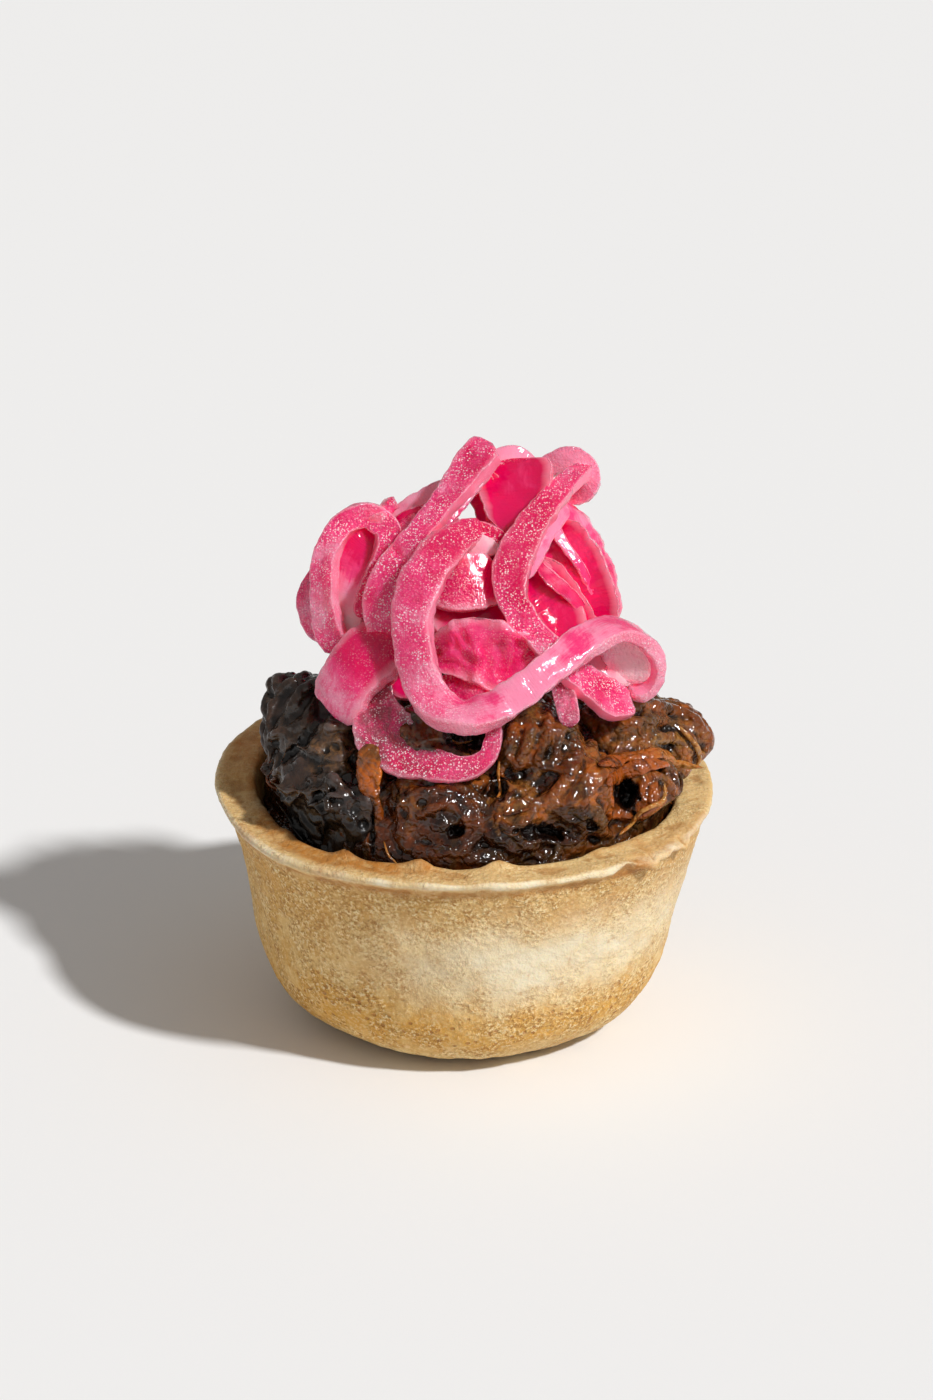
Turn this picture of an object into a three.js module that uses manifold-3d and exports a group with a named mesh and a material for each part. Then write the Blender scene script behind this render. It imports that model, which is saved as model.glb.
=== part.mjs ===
// Savoury tartlet: a shortcrust shell, pulled meat in a dark sauce with one nearly black chunk,
// and a tall tangle of pickled red onion strips on top.
// Millimetres. The base stands on z = 0, the axis of the shell is Z and the front looks along -Y.

import * as THREE from 'three';
import { mergeVertices } from 'three/addons/utils/BufferGeometryUtils.js';
import Module from 'manifold-3d';

const wasm = await Module();
wasm.setup();

// Shell
const rimRadius = 25.15;
const rimHeight = 24;
const baseCornerRadius = 18.2;
const wallLean = 0.2583;
const baseFillet = 6.2;
const innerRimRadius = 21;
const wallThickness = 3.3;
const floorThickness = 3.4;
const shellSegments = 48;

// Filling
const gap = 0.3;
const heapHeight = 10;
const heapFoot = 24.7;
const heapReach = 22;
const heapSegments = 30;
const strandCount = 13;
const strandRadius = 0.8;
const strandSides = 5;

// Onion
const stripStep = 2.4;
const backStripCount = 9;
const tangleCentre = [0, 13.5, 6];

// The eye that the strips and lumps are laid out for: they are given as seen by it, as
// millimetres across, up and toward the eye from a point 25 mm above the base.
const eyeDistance = 400;
const eyeRise = THREE.MathUtils.degToRad(23.4);
const eyeTarget = 25;

function viewDirection([across, up, near]) {
  const sin = Math.sin(eyeRise);
  const cos = Math.cos(eyeRise);
  return new THREE.Vector3(across, up * sin - near * cos, up * cos + near * sin);
}

function fromView([across, up, near]) {
  const scale = (eyeDistance - near) / eyeDistance;
  const point = viewDirection([across * scale, up * scale, near]);
  point.z += eyeTarget;
  return point;
}

function fraction(seed) {
  const value = Math.sin(seed * 12.9898 + 78.233) * 43758.5453;
  return value - Math.floor(value);
}

function smoothStep(low, high, value) {
  return THREE.MathUtils.smoothstep(value, low, high);
}

function bell(angle, centre, width) {
  const turn = Math.atan2(Math.sin(angle - centre), Math.cos(angle - centre));
  return Math.exp(-((turn / width) ** 2));
}

// Solids

function weld(geometry) {
  geometry.deleteAttribute('normal');
  geometry.deleteAttribute('uv');
  return mergeVertices(geometry, 1e-4);
}

function toSolid(geometry) {
  const welded = weld(geometry);
  const index = Array.from(welded.index.array);
  const triVerts = [];
  for (let i = 0; i < index.length; i += 3) {
    const [a, b, c] = index.slice(i, i + 3);
    if (a !== b && b !== c && c !== a) {
      triVerts.push(a, b, c);
    }
  }
  const mesh = new wasm.Mesh({
    numProp: 3,
    vertProperties: new Float32Array(welded.attributes.position.array),
    triVerts: new Uint32Array(triVerts),
  });
  return new wasm.Manifold(mesh);
}

function join(solids) {
  return solids.reduce((all, solid) => all.add(solid));
}

function toMesh(name, solid, color, roughness) {
  const { numProp, vertProperties, triVerts } = solid.getMesh();
  const positions = [];
  for (let i = 0; i < vertProperties.length; i += numProp) {
    positions.push(vertProperties[i], vertProperties[i + 1], vertProperties[i + 2]);
  }
  const geometry = new THREE.BufferGeometry();
  geometry.setAttribute('position', new THREE.Float32BufferAttribute(positions, 3));
  geometry.setIndex(Array.from(triVerts));
  geometry.computeVertexNormals();
  const material = new THREE.MeshStandardMaterial({ color, roughness, metalness: 0 });
  const mesh = new THREE.Mesh(geometry, material);
  mesh.name = name;
  return mesh;
}

// The outline turns about Z, from the bottom of the axis to its top.
function turned(outline, segments, shift) {
  const points = outline.map(([r, z]) => new THREE.Vector2(r, z));
  const geometry = new THREE.LatheGeometry(points, segments);
  geometry.rotateX(Math.PI / 2);
  const position = geometry.attributes.position;
  const point = new THREE.Vector3();
  for (let i = 0; i < position.count; i += 1) {
    point.fromBufferAttribute(position, i);
    shift(point, Math.atan2(point.y, point.x), Math.hypot(point.x, point.y));
    position.setXYZ(i, point.x, point.y, point.z);
  }
  return toSolid(geometry);
}

// Hand-pressed shell: the rim rises a little at the back left, sags at the right front, and its
// edge and wall wander by a few tenths of a millimetre.
function shellShift(point, angle, radius) {
  const high = smoothStep(9, 22, point.z);
  const wander = 0.22 * Math.sin(2 * angle) * Math.sin(5 * angle + 0.7) * smoothStep(2, 8, point.z);
  const scale = radius > 1 ? (radius + wander) / radius : 1;
  point.x *= scale;
  point.y *= scale;
  point.z += high * (1.5 * bell(angle, 2.6, 0.5) - 0.25 * bell(angle, 0.15, 0.5));
  point.z += high * 0.12 * Math.sin(4 * angle + 1.3);
  point.z -= 0.7 * bell(angle, -0.79, 0.16) * smoothStep(24.2, 25, radius) * high;
}

function wallRadius(z) {
  return baseCornerRadius + wallLean * z;
}

function shell(grow) {
  const flat = baseCornerRadius - baseFillet;
  const inner = innerRimRadius - grow;
  const floorRise = floorThickness + grow;
  const innerFoot = wallRadius(floorRise) - wallThickness - grow;
  const top = rimHeight + grow;
  const outline = [
    [0, 0],
    [flat, 0],
    [flat + 2.6, 0.55],
    [flat + 5.1, 2],
    [flat + 6.9, 3.9],
    [wallRadius(6.4), 6.4],
    [wallRadius(13), 13],
    [wallRadius(19.6), 19.6],
    [rimRadius - 1.35, 21.1],
    [rimRadius - 0.6, 22.2],
    [rimRadius - 0.1, 23.1],
    [rimRadius, 23.6],
    [rimRadius - 0.45, top - 0.05],
    [rimRadius - 2.2, top + 0.15],
    [inner + 0.6, top + 0.3],
    [inner, top - 0.2],
    [inner - 0.45, top - 1.6],
    [(inner + innerFoot) / 2, 12.5],
    [innerFoot, floorRise + 4.2],
    [innerFoot - 1.6, floorRise + 1.5],
    [innerFoot - 5, floorRise],
    [0, floorRise],
  ];
  return turned(outline, shellSegments, shellShift);
}

// A lump is a ball drawn out to three radii with a wobble on it, turned about Z.
function lump({ at, size, turn = 0, seed = 1, rough = 0.08, detail = 2 }, grow = 0) {
  const geometry = weld(new THREE.IcosahedronGeometry(1, detail));
  const position = geometry.attributes.position;
  const centre = fromView(at);
  const point = new THREE.Vector3();
  for (let i = 0; i < position.count; i += 1) {
    point.fromBufferAttribute(position, i);
    const wave = Math.sin(4.3 * point.x + seed) + Math.sin(5.1 * point.y + 2.3 * seed)
      + Math.sin(4.7 * point.z + 3.1 * seed);
    point.multiplyScalar(1 + rough * wave * 0.5);
    point.set(point.x * (size[0] + grow), point.y * (size[1] + grow), point.z * (size[2] + grow));
    point.applyAxisAngle(new THREE.Vector3(0, 0, 1), turn);
    point.add(centre);
    position.setXYZ(i, point.x, point.y, point.z);
  }
  return toSolid(geometry);
}

// A closed sweep: each section is a ring of points round a centre, and both ends are capped.
function sweep(rings) {
  const sides = rings[0].length;
  const positions = rings.flat().flatMap((point) => point.toArray());
  const index = [];
  for (let i = 0; i < rings.length - 1; i += 1) {
    for (let k = 0; k < sides; k += 1) {
      const a = i * sides + k;
      const b = i * sides + (k + 1) % sides;
      index.push(a, b, a + sides, b, b + sides, a + sides);
    }
  }
  const last = (rings.length - 1) * sides;
  for (let k = 1; k < sides - 1; k += 1) {
    index.push(0, k + 1, k, last, last + k, last + k + 1);
  }
  const geometry = new THREE.BufferGeometry();
  geometry.setAttribute('position', new THREE.Float32BufferAttribute(positions, 3));
  geometry.setIndex(index);
  return toSolid(geometry);
}

// Filling

function heapTop(radius) {
  const share = Math.min(1, radius / heapReach);
  return heapFoot + heapHeight * (1 - share ** 2.6) ** 0.7;
}

function heapShift(point, angle, radius) {
  if (point.z > heapFoot - 0.5) {
    const ripple = Math.sin(5 * angle + 0.35 * radius) * Math.sin(0.8 * radius + 2 * angle);
    point.z += 0.55 * ripple * smoothStep(0, 6, radius);
  }
}

function heapCore(grow) {
  const floor = floorThickness + gap;
  const foot = wallRadius(floor) - wallThickness - gap;
  const mouth = innerRimRadius - gap - 0.1;
  const outline = [
    [0, floor],
    [foot - 5.2, floor],
    [foot - 1.8, floor + 1.6],
    [foot - 0.25, floor + 4.4],
    [(mouth + foot) / 2 - 0.2, 12.5],
    [mouth - 0.5, rimHeight - 1.6],
    [mouth, heapFoot - 0.3],
    [mouth - 0.9, heapTop(mouth) - 1 + grow],
  ];
  for (let radius = mouth - 2.8; radius > 3; radius -= 3.4) {
    outline.push([radius, heapTop(radius) + grow]);
  }
  outline.push([0, heapTop(0) + grow]);
  return turned(outline, heapSegments, heapShift);
}

const chunkLumps = [
  { at: [-15.3, 4.6, 5.5], size: [4.8, 6, 5.6], turn: 0.2, seed: 1.3, rough: 0.14 },
  { at: [-14.4, -2.2, 10], size: [5.6, 5.8, 6], turn: 0.5, seed: 2.1, rough: 0.13 },
  { at: [-11.8, -4.2, 13.2], size: [3.6, 4.4, 5.2], seed: 3.4, rough: 0.12 },
  { at: [-12.7, 2.4, 10.6], size: [4.1, 4.2, 4], seed: 4.2, rough: 0.14 },
];

const meatLumps = [
  { at: [-2.6, -4.4, 14.4], size: [5.4, 5, 5.2], seed: 5.1, rough: 0.05 },
  { at: [4.2, -5.4, 15.4], size: [4, 4, 4.4], seed: 6.7 },
  { at: [9.8, -2, 13.4], size: [5, 5, 4.6], turn: -0.5, seed: 7.9 },
  { at: [6.6, 3, 13.4], size: [4.4, 4.2, 4], seed: 8.3 },
  { at: [-3.4, 3.4, 14], size: [4.6, 4.2, 3.6], seed: 8.9 },
  { at: [16, -2.4, 8.6], size: [5, 4.6, 4.6], turn: 0.6, seed: 9.2 },
  { at: [15, 3.8, 5.4], size: [4.8, 4.8, 3.9], seed: 10.4 },
  { at: [20, 3.4, 1], size: [4.5, 5.4, 3.7], seed: 11.6, rough: 0.05 },
  { at: [14.2, 5.2, -7], size: [5.6, 5, 4], seed: 12.5, detail: 1 },
  { at: [3.5, 7.6, -13.5], size: [6, 4.6, 3.8], seed: 13.1, detail: 1 },
  { at: [-9.4, 7.4, -9.5], size: [5.8, 5.2, 4.4], seed: 14.8, detail: 1 },
];

// Dents that show as dark holes in the two front lumps
const meatDents = [
  { at: [-1.2, -6, 19.4], size: [1.1, 1.6, 0.9], detail: 1 },
  { at: [16.3, -2.3, 14], size: [1.5, 1.9, 1.7], detail: 1 },
];

// Strips of meat that stand out of the heap and are seen one by one
const meatStrips = [
  { path: [[-9.2, 2.6, 16], [-9.7, -0.2, 17.2], [-8.9, -3.4, 17.4]], radius: [1, 1.3, 0.6] },
  { path: [[13, 1.2, 12.4], [17.4, 1, 10], [21.4, 1.5, 6.4]], radius: [1.2, 1.5, 0.5] },
  { path: [[11.4, 2.4, 11.6], [15.4, 4.6, 9.4], [19.4, 5.2, 5]], radius: [0.8, 1.1, 0.7] },
  { path: [[15, -5.8, 14.2], [18.3, -3.8, 12.6], [19.6, -1.4, 10.4]], radius: [0.6, 0.8, 0.5] },
  { path: [[17.6, 6.4, 3], [21.4, 5.6, 2.6], [24, 2.6, 2.2]], radius: [0.7, 1, 0.9] },
  { path: [[1.2, -2.6, 17.6], [4.6, 0.2, 17], [8.2, 1.6, 15.6]], radius: [0.8, 1.1, 0.6] },
];

function strandRings(points, radii) {
  const curve = new THREE.CatmullRomCurve3(points, false, 'centripetal');
  const steps = Math.max(4, Math.round(curve.getLength() / 2.2));
  const rings = [];
  for (let i = 0; i <= steps; i += 1) {
    const t = i / steps;
    const centre = curve.getPointAt(t);
    const along = curve.getTangentAt(t);
    const side = new THREE.Vector3(0, 0, 1).cross(along).normalize();
    const out = along.clone().cross(side);
    const radius = t < 0.5
      ? THREE.MathUtils.lerp(radii[0], radii[1], 2 * t)
      : THREE.MathUtils.lerp(radii[1], radii[2], 2 * t - 1);
    const ring = [];
    for (let k = 0; k < strandSides; k += 1) {
      const turn = 2 * Math.PI * k / strandSides;
      const point = centre.clone();
      point.addScaledVector(side, radius * Math.cos(turn));
      point.addScaledVector(out, radius * Math.sin(turn));
      ring.push(point);
    }
    rings.push(ring);
  }
  return rings;
}

// Shreds of meat lie over the heap in short arcs, most of them rising to the right.
function shreds(grow) {
  const solids = [];
  for (let n = 0; n < strandCount; n += 1) {
    const angle = -2.05 + 5.2 * (n + 0.5 * fraction(n)) / strandCount;
    const radius = 13 + 5.6 * fraction(n + 40);
    const swing = 0.24 + 0.2 * fraction(n + 80);
    const climb = 1.6 + 2.6 * fraction(n + 120);
    const points = [-1, 0, 1].map((end) => {
      const reach = radius - end * climb;
      const turn = angle + end * swing;
      const lift = heapTop(reach) + 0.45 - 0.3 * Math.abs(end);
      return new THREE.Vector3(reach * Math.cos(turn), reach * Math.sin(turn), lift);
    });
    const thick = strandRadius * (0.8 + 0.5 * fraction(n + 160)) + grow;
    solids.push(sweep(strandRings(points, [thick * 0.5, thick, thick * 0.4])));
  }
  for (const { path, radius } of meatStrips) {
    solids.push(sweep(strandRings(path.map(fromView), radius.map((value) => value + grow))));
  }
  return solids;
}

function chunk(grow) {
  return join(chunkLumps.map((entry) => lump(entry, grow)));
}

function meat(grow) {
  const lumps = meatLumps.map((entry) => lump(entry, grow));
  const dents = meatDents.map((entry) => lump(entry, -grow));
  const heap = join([heapCore(grow), ...lumps]).subtract(join(dents));
  return join([heap, ...shreds(grow)]);
}

// Onion: each strip is a flat band with six-sided sections. A path is [across, up, near] as the
// eye sees it, width is at the start, middle and end.
const strips = [
  // The long front strip: down from the top, round at the bottom and up to the right-hand loop
  {
    path: [[2.2, 32.8, 10], [-2.6, 27.4, 13.4], [-4.8, 21, 16.4], [-5.1, 13.5, 18.6],
      [-3, 6.8, 19.6], [1, 5.2, 20.2], [6, 7.8, 19.8], [11.4, 12.7, 18]],
    width: [4.4, 4.5, 3.8],
    thick: 2.3,
    face: [[-0.3, 0.2, 1], [-0.1, 0, 1], [0, -0.3, 1]],
  },
  {
    path: [[9.6, 11.4, 18.4], [13.4, 14, 16.8], [17, 13.2, 14.4], [18, 9.8, 12],
      [15.4, 7.6, 11.6], [11, 10.4, 12.6]],
    width: [3.6, 4.2, 3.6],
    thick: 1.9,
    face: [[0, 0, 1], [0.7, 0.4, 0.7], [0, -0.4, 1]],
  },
  {
    path: [[14.6, 13.4, 13.2], [17.1, 10.6, 11.8], [15.4, 7.2, 11.4]],
    width: [4, 4.6, 4],
    thick: 1.9,
    face: [[-0.3, 0, 1]],
  },
  // Behind the front strip on its left
  {
    path: [[-3.4, 24.6, 13], [-7, 20.4, 15], [-7.8, 16.4, 15.6], [-6, 12, 14]],
    width: [3.8, 4.2, 3.6],
    thick: 2.2,
    face: [[-0.3, 0, 1]],
  },
  // The S-shaped strip in the middle
  {
    path: [[11, 30.4, 7.6], [7.8, 26.8, 12.2], [4.4, 21.2, 16.2], [4.6, 16.8, 17.2],
      [7.6, 12.2, 16.6], [12.4, 8.3, 14.2]],
    width: [3.8, 4, 3.8],
    thick: 2.1,
    face: [[0.4, 0, 1]],
  },
  // The open loop at the left
  {
    path: [[-13.2, 11.8, 12], [-14.2, 17, 12.2], [-13.2, 23, 11.3], [-10, 25.7, 11],
      [-7.7, 23, 12], [-8.6, 18, 12.4]],
    width: [3.6, 3.2, 3.4],
    thick: 2.2,
    face: [[-0.5, 0, 1], [-0.2, 0.2, 1], [0.2, 0, 1]],
  },
  // The fat bend at the lower left and the ring that lies on the meat
  {
    path: [[-4.8, 13.4, 12.6], [-9, 12.6, 15], [-12.2, 9.8, 15.4], [-12.9, 6, 14.4]],
    width: [5, 6, 5],
    thick: 2.8,
    face: [[-0.1, 0.4, 1], [-0.4, 0.2, 1]],
  },
  {
    path: [[-6.4, 10.6, 13.4], [-9.4, 7, 15.2], [-8.4, 3, 17], [-4.6, 0.9, 18.6], [-0.4, 0.2, 19],
      [2.6, 1.6, 18.6], [3, 5, 17], [1.6, 8.8, 14]],
    width: [3.4, 4.8, 2.4],
    thick: 1.9,
    face: [[-0.3, 0.3, 1], [0, 0.1, 1], [0.4, 0, 1]],
  },
  // Curls and edges along the top
  {
    path: [[5.4, 27.6, 5], [8, 31.2, 6], [11, 31.6, 7], [12.4, 29.6, 6.6], [10.4, 26.8, 4.6]],
    width: [3, 3.4, 3],
    thick: 2,
  },
  { path: [[2, 30.4, 9], [5, 31.4, 7], [8.6, 28.4, 5.6]], width: [3.2, 3.2, 3], thick: 1.8 },
  {
    path: [[3.4, 31.4, 9.6], [5, 28, 11], [4.4, 24, 11.2]],
    width: [5, 6.6, 6],
    thick: 2,
    face: [[0.2, 0, 1]],
  },
  { path: [[-9, 23.6, 5], [-5, 26.6, 7], [-0.6, 29.4, 8]], width: [3.4, 3.8, 3.6], thick: 2 },
  // The broad petals at the right and the strips behind them
  {
    path: [[9, 27.6, 7.6], [11, 22, 9], [12.6, 17, 9], [13.2, 12, 7.8]],
    width: [4.6, 5.6, 5],
    thick: 2.2,
    face: [[0.6, 0.1, 1]],
  },
  {
    path: [[6.4, 22.6, 11.4], [9.6, 18.6, 12], [11.8, 14, 11.4]],
    width: [5, 5.6, 5],
    thick: 2.2,
    face: [[0.3, 0.1, 1]],
  },
  // The middle: a crumpled piece, a broad sheet over it and small ends
  { path: [[-2.6, 12.4, 15], [1.8, 12.1, 16.6], [6, 12.2, 15]], width: [5, 5.6, 5], thick: 3 },
  { path: [[-3, 18.8, 15], [0.6, 19.2, 16], [4, 19.8, 14.6]], width: [6, 6.6, 6], thick: 2 },
  { path: [[9.6, 9.6, 14], [10.5, 6.6, 16], [10.9, 4.4, 16.4]], width: [2.8, 2.6, 2], thick: 1.8 },
  { path: [[-3, 8.4, 14.6], [0.4, 7, 15.4], [4, 8.4, 14.4]], width: [2.4, 2.6, 2.4], thick: 2.2 },
  // The far left
  {
    path: [[-10.4, 23, 7.6], [-15, 20.6, 7], [-16.4, 17, 7.2], [-14.2, 13.4, 8.2], [-10, 12, 9]],
    width: [3, 3.2, 3],
    thick: 2,
  },
];

function blend(values, t) {
  const place = t * (values.length - 1);
  const step = Math.min(Math.floor(place), Math.max(values.length - 2, 0));
  const next = Math.min(step + 1, values.length - 1);
  return values[step].clone().lerp(values[next], place - step);
}

function stripRings(points, width, thick, face) {
  const curve = new THREE.CatmullRomCurve3(points, false, 'centripetal');
  const steps = Math.max(4, Math.round(curve.getLength() / stripStep));
  const middle = fromView(tangleCentre);
  const looks = face ? face.map(viewDirection) : null;
  const rings = [];
  for (let i = 0; i <= steps; i += 1) {
    const t = i / steps;
    const centre = curve.getPointAt(t);
    const along = curve.getTangentAt(t);
    const out = looks ? blend(looks, t) : centre.clone().sub(middle);
    out.addScaledVector(along, -out.dot(along)).normalize();
    const side = out.clone().cross(along);
    const end = 0.72 + 0.28 * smoothStep(0, 0.08, Math.min(t, 1 - t));
    const half = end * 0.5 * (t < 0.5
      ? THREE.MathUtils.lerp(width[0], width[1], 2 * t)
      : THREE.MathUtils.lerp(width[1], width[2], 2 * t - 1));
    const corners = [[1, 0], [0.72, 0.5], [-0.72, 0.5], [-1, 0], [-0.72, -0.5], [0.72, -0.5]];
    rings.push(corners.map(([u, v]) => {
      const point = centre.clone();
      point.addScaledVector(side, u * half);
      point.addScaledVector(out, v * thick);
      return point;
    }));
  }
  return rings;
}

// The back of the tangle: arcs of the same strips, each tilted its own way round the middle.
function backStrips() {
  const solids = [];
  for (let n = 0; n < backStripCount; n += 1) {
    const bearing = 0.2 + 2.75 * (n + 0.4 * fraction(n + 7)) / backStripCount;
    const height = 37 + 15.5 * fraction(n * 3 + 11);
    const reach = 12.6 - 0.42 * Math.max(0, height - 42) + 1.2 * fraction(n + 17);
    const tilt = -1.1 + 2.2 * fraction(n + 23);
    const points = [-1, -0.5, 0, 0.5, 1].map((s) => {
      const turn = bearing + 0.62 * s * Math.cos(tilt);
      const bulge = reach - 2.8 * s * s;
      const rise = height + 6.5 * s * Math.sin(tilt) - 1.5 * s * s;
      return new THREE.Vector3(bulge * Math.cos(turn), bulge * Math.sin(turn), rise);
    });
    const wide = 3 + 1.4 * fraction(n + 29);
    solids.push(sweep(stripRings(points, [wide * 0.85, wide, wide * 0.85], 2)));
  }
  return solids;
}

const tangleCore = [
  { at: [-0.6, 12.6, 6], size: [11.4, 10, 8], seed: 2.2, rough: 0.05 },
  { at: [4.6, 19.2, 5.6], size: [7.6, 7, 7.2], seed: 4.9, rough: 0.06 },
  { at: [-7.2, 18.4, 6.6], size: [5.4, 5, 6.4], seed: 6.2, rough: 0.06 },
];

function onion() {
  const front = strips.map((entry) => {
    const points = entry.path.map(fromView);
    return sweep(stripRings(points, entry.width, entry.thick, entry.face));
  });
  return join([...tangleCore.map((entry) => lump(entry)), ...front, ...backStrips()]);
}

const shellCutter = shell(gap);
const chunkSolid = chunk(0).subtract(shellCutter);
const meatSolid = meat(0).subtract(chunk(gap)).subtract(shellCutter);
const onionSolid = onion().subtract(meat(gap)).subtract(chunk(gap));

const tartlet = new THREE.Group();
tartlet.add(toMesh('pastry_shell', shell(0), 0xcfa25c, 0.75));
tartlet.add(toMesh('dark_meat_chunk', chunkSolid, 0x1e1714, 0.3));
tartlet.add(toMesh('pulled_meat', meatSolid, 0x4a2412, 0.3));
tartlet.add(toMesh('pickled_onion', onionSolid, 0xe0447c, 0.3));

export default tartlet;
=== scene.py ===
import math

import bpy
import numpy as np
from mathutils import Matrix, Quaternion, Vector, kdtree, noise
from mathutils.bvhtree import BVHTree


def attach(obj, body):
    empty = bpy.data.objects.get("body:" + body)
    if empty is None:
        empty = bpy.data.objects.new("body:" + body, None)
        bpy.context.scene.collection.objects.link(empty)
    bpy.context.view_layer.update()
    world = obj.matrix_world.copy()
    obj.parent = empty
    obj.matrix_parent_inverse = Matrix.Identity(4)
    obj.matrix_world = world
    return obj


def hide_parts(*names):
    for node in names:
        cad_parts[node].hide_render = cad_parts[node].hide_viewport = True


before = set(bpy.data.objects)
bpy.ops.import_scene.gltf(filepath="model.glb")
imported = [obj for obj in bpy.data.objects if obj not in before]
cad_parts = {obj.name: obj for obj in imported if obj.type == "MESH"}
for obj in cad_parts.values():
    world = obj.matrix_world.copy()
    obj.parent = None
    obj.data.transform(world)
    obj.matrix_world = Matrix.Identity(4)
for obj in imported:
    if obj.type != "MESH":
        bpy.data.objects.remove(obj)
noise.seed_set(7)  # noise_vector is moved about by this seed
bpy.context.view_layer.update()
mm = 0.001

# the eye of the photograph: what is seen from it is laid out as [across, up, near] in mm
eye = {"distance": 400.0, "rise": math.radians(23.4), "aimHeight": 25.0, "aimLift": 7.22, "lens": 102.86}
sinRise = math.sin(eye["rise"])
cosRise = math.cos(eye["rise"])


def viewDirection(seen):
    across, up, near = seen
    return np.array([across, up * sinRise - near * cosRise, up * cosRise + near * sinRise])


def fromView(seen):
    across, up, near = seen
    shrink = (eye["distance"] - near) / eye["distance"]
    point = viewDirection([across * shrink, up * shrink, near])
    point[2] += eye["aimHeight"]
    return point


# how near to the eye a place of the model is, in mm
def nearOf(place):
    _, y, z = place
    return -y * cosRise + (z - eye["aimHeight"]) * sinRise


# where a place of the model is seen, as (across, up) in mm
def seenAt(place):
    x, y, z = place
    shrink = (eye["distance"] - nearOf(place)) / eye["distance"]
    return x / shrink, ((z - eye["aimHeight"]) * cosRise + y * sinRise) / shrink


# small helpers

def deselectAll():
    if bpy.context.object and bpy.context.object.mode != "OBJECT":
        bpy.ops.object.mode_set(mode="OBJECT")
    bpy.ops.object.select_all(action="DESELECT")


def pick(piece):
    deselectAll()
    piece.select_set(True)
    bpy.context.view_layer.objects.active = piece


def editAll(piece):
    pick(piece)
    bpy.ops.object.mode_set(mode="EDIT")
    bpy.ops.mesh.select_all(action="SELECT")


def leaveEdit():
    bpy.ops.object.mode_set(mode="OBJECT")


# one modifier, set up and applied
def shapeBy(piece, kind, **settings):
    modifier = piece.modifiers.new(kind.lower(), kind)
    for key, value in settings.items():
        setattr(modifier, key, value)
    pick(piece)
    bpy.ops.object.modifier_apply(modifier=modifier.name)


def closeMesh(piece, reach=1e-6):
    editAll(piece)
    bpy.ops.mesh.remove_doubles(threshold=reach)
    bpy.ops.mesh.normals_make_consistent(inside=False)
    leaveEdit()


def getVectors(items, key):
    flat = np.empty(len(items) * 3, dtype=np.float32)
    items.foreach_get(key, flat)
    return flat.reshape(-1, 3).astype(np.float64)


# the points of a piece in mm
def getPoints(piece):
    return getVectors(piece.data.vertices, "co") / mm


def setPoints(piece, points):
    piece.data.vertices.foreach_set("co", (points * mm).astype(np.float32).ravel())
    piece.data.update()


def smoothStep(low, high, value):
    t = np.clip((value - low) / (high - low), 0, 1)
    return t * t * (3 - 2 * t)


def hump(value, centre, width):
    return np.exp(-(((value - centre) / width) ** 2))


def bell(angle, centre, width):
    return hump(np.arctan2(np.sin(angle - centre), np.cos(angle - centre)), 0, width)


def noiseAt(places, scale=1.0, shift=(0, 0, 0)):
    return np.array([noise.noise(Vector(place) * scale + Vector(shift)) for place in places])


# noise that runs round the axis without a seam
def noiseRound(angle, size, height):
    return np.array([noise.noise(Vector((math.cos(a) * size, math.sin(a) * size, h)))
                     for a, h in np.broadcast(angle, height)])


def unit(rows):
    return rows / np.linalg.norm(rows, axis=1)[:, None]


# each row as a unit vector at right angles to the one beside it
def squareTo(rows, along):
    return unit(rows - np.sum(rows * along, axis=1)[:, None] * along)


def joinPieces(pieces, name):
    deselectAll()
    for piece in pieces:
        piece.select_set(True)
    bpy.context.view_layer.objects.active = pieces[0]
    if len(pieces) > 1:
        bpy.ops.object.join()
    joined = bpy.context.object
    joined.name = name
    joined.data.name = name
    return joined


# one value for each point, kept between low and 1
def paint(piece, low=0, **layers):
    attributes = piece.data.attributes
    for name, values in layers.items():
        layer = attributes.get(name) or attributes.new(name, "FLOAT", "POINT")
        values = np.broadcast_to(values, len(piece.data.vertices))
        layer.data.foreach_set("value", np.clip(values, low, 1).astype(np.float32))


def neighbourMean(mesh, points, rounds):
    edges = np.empty(len(mesh.edges) * 2, dtype=np.int32)
    mesh.edges.foreach_get("vertices", edges)
    edges = edges.reshape(-1, 2)
    a, b = edges[:, 0], edges[:, 1]
    size = len(points)
    count = np.bincount(edges.ravel(), minlength=size).clip(1)
    mean = points.copy()
    for _ in range(rounds):
        mean = np.stack([
            (np.bincount(a, mean[b, k], size) + np.bincount(b, mean[a, k], size)) / count
            for k in range(mean.shape[1])
        ], axis=1)
    return mean


# how far a point lies below its surroundings, in mm: above 0 in a hollow, under 0 on a ridge
def hollowness(piece, rounds):
    points = getPoints(piece)
    rise = neighbourMean(piece.data, points, rounds) - points
    return np.sum(rise * getVectors(piece.data.vertex_normals, "vector"), axis=1)


def makeFinder(places):
    finder = kdtree.KDTree(len(places))
    for n, place in enumerate(places):
        finder.insert(place, n)
    finder.balance()
    return finder


# cloudy relief: its size and strength in mm
def roughen(piece, size, strength, depth=1, kind="SOFT"):
    texture = bpy.data.textures.new(piece.name + "Relief", "CLOUDS")
    texture.noise_scale = size * mm
    texture.noise_depth = depth
    texture.noise_type = kind + "_NOISE"
    shapeBy(piece, "DISPLACE", texture=texture, texture_coords="LOCAL", strength=strength * mm, mid_level=0.5)


def remesh(piece, size):
    shapeBy(piece, "REMESH", mode="VOXEL", voxel_size=size * mm)


def finishPiece(piece, node, material):
    piece.data.materials.clear()
    piece.data.materials.append(material)
    piece.data.polygons.foreach_set("use_smooth", [True] * len(piece.data.polygons))
    piece.data.update()
    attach(piece, "root")
    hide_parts(node)
    triangles = sum(len(face.vertices) - 2 for face in piece.data.polygons)
    print(f"{piece.name}: {triangles} triangles")


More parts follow.
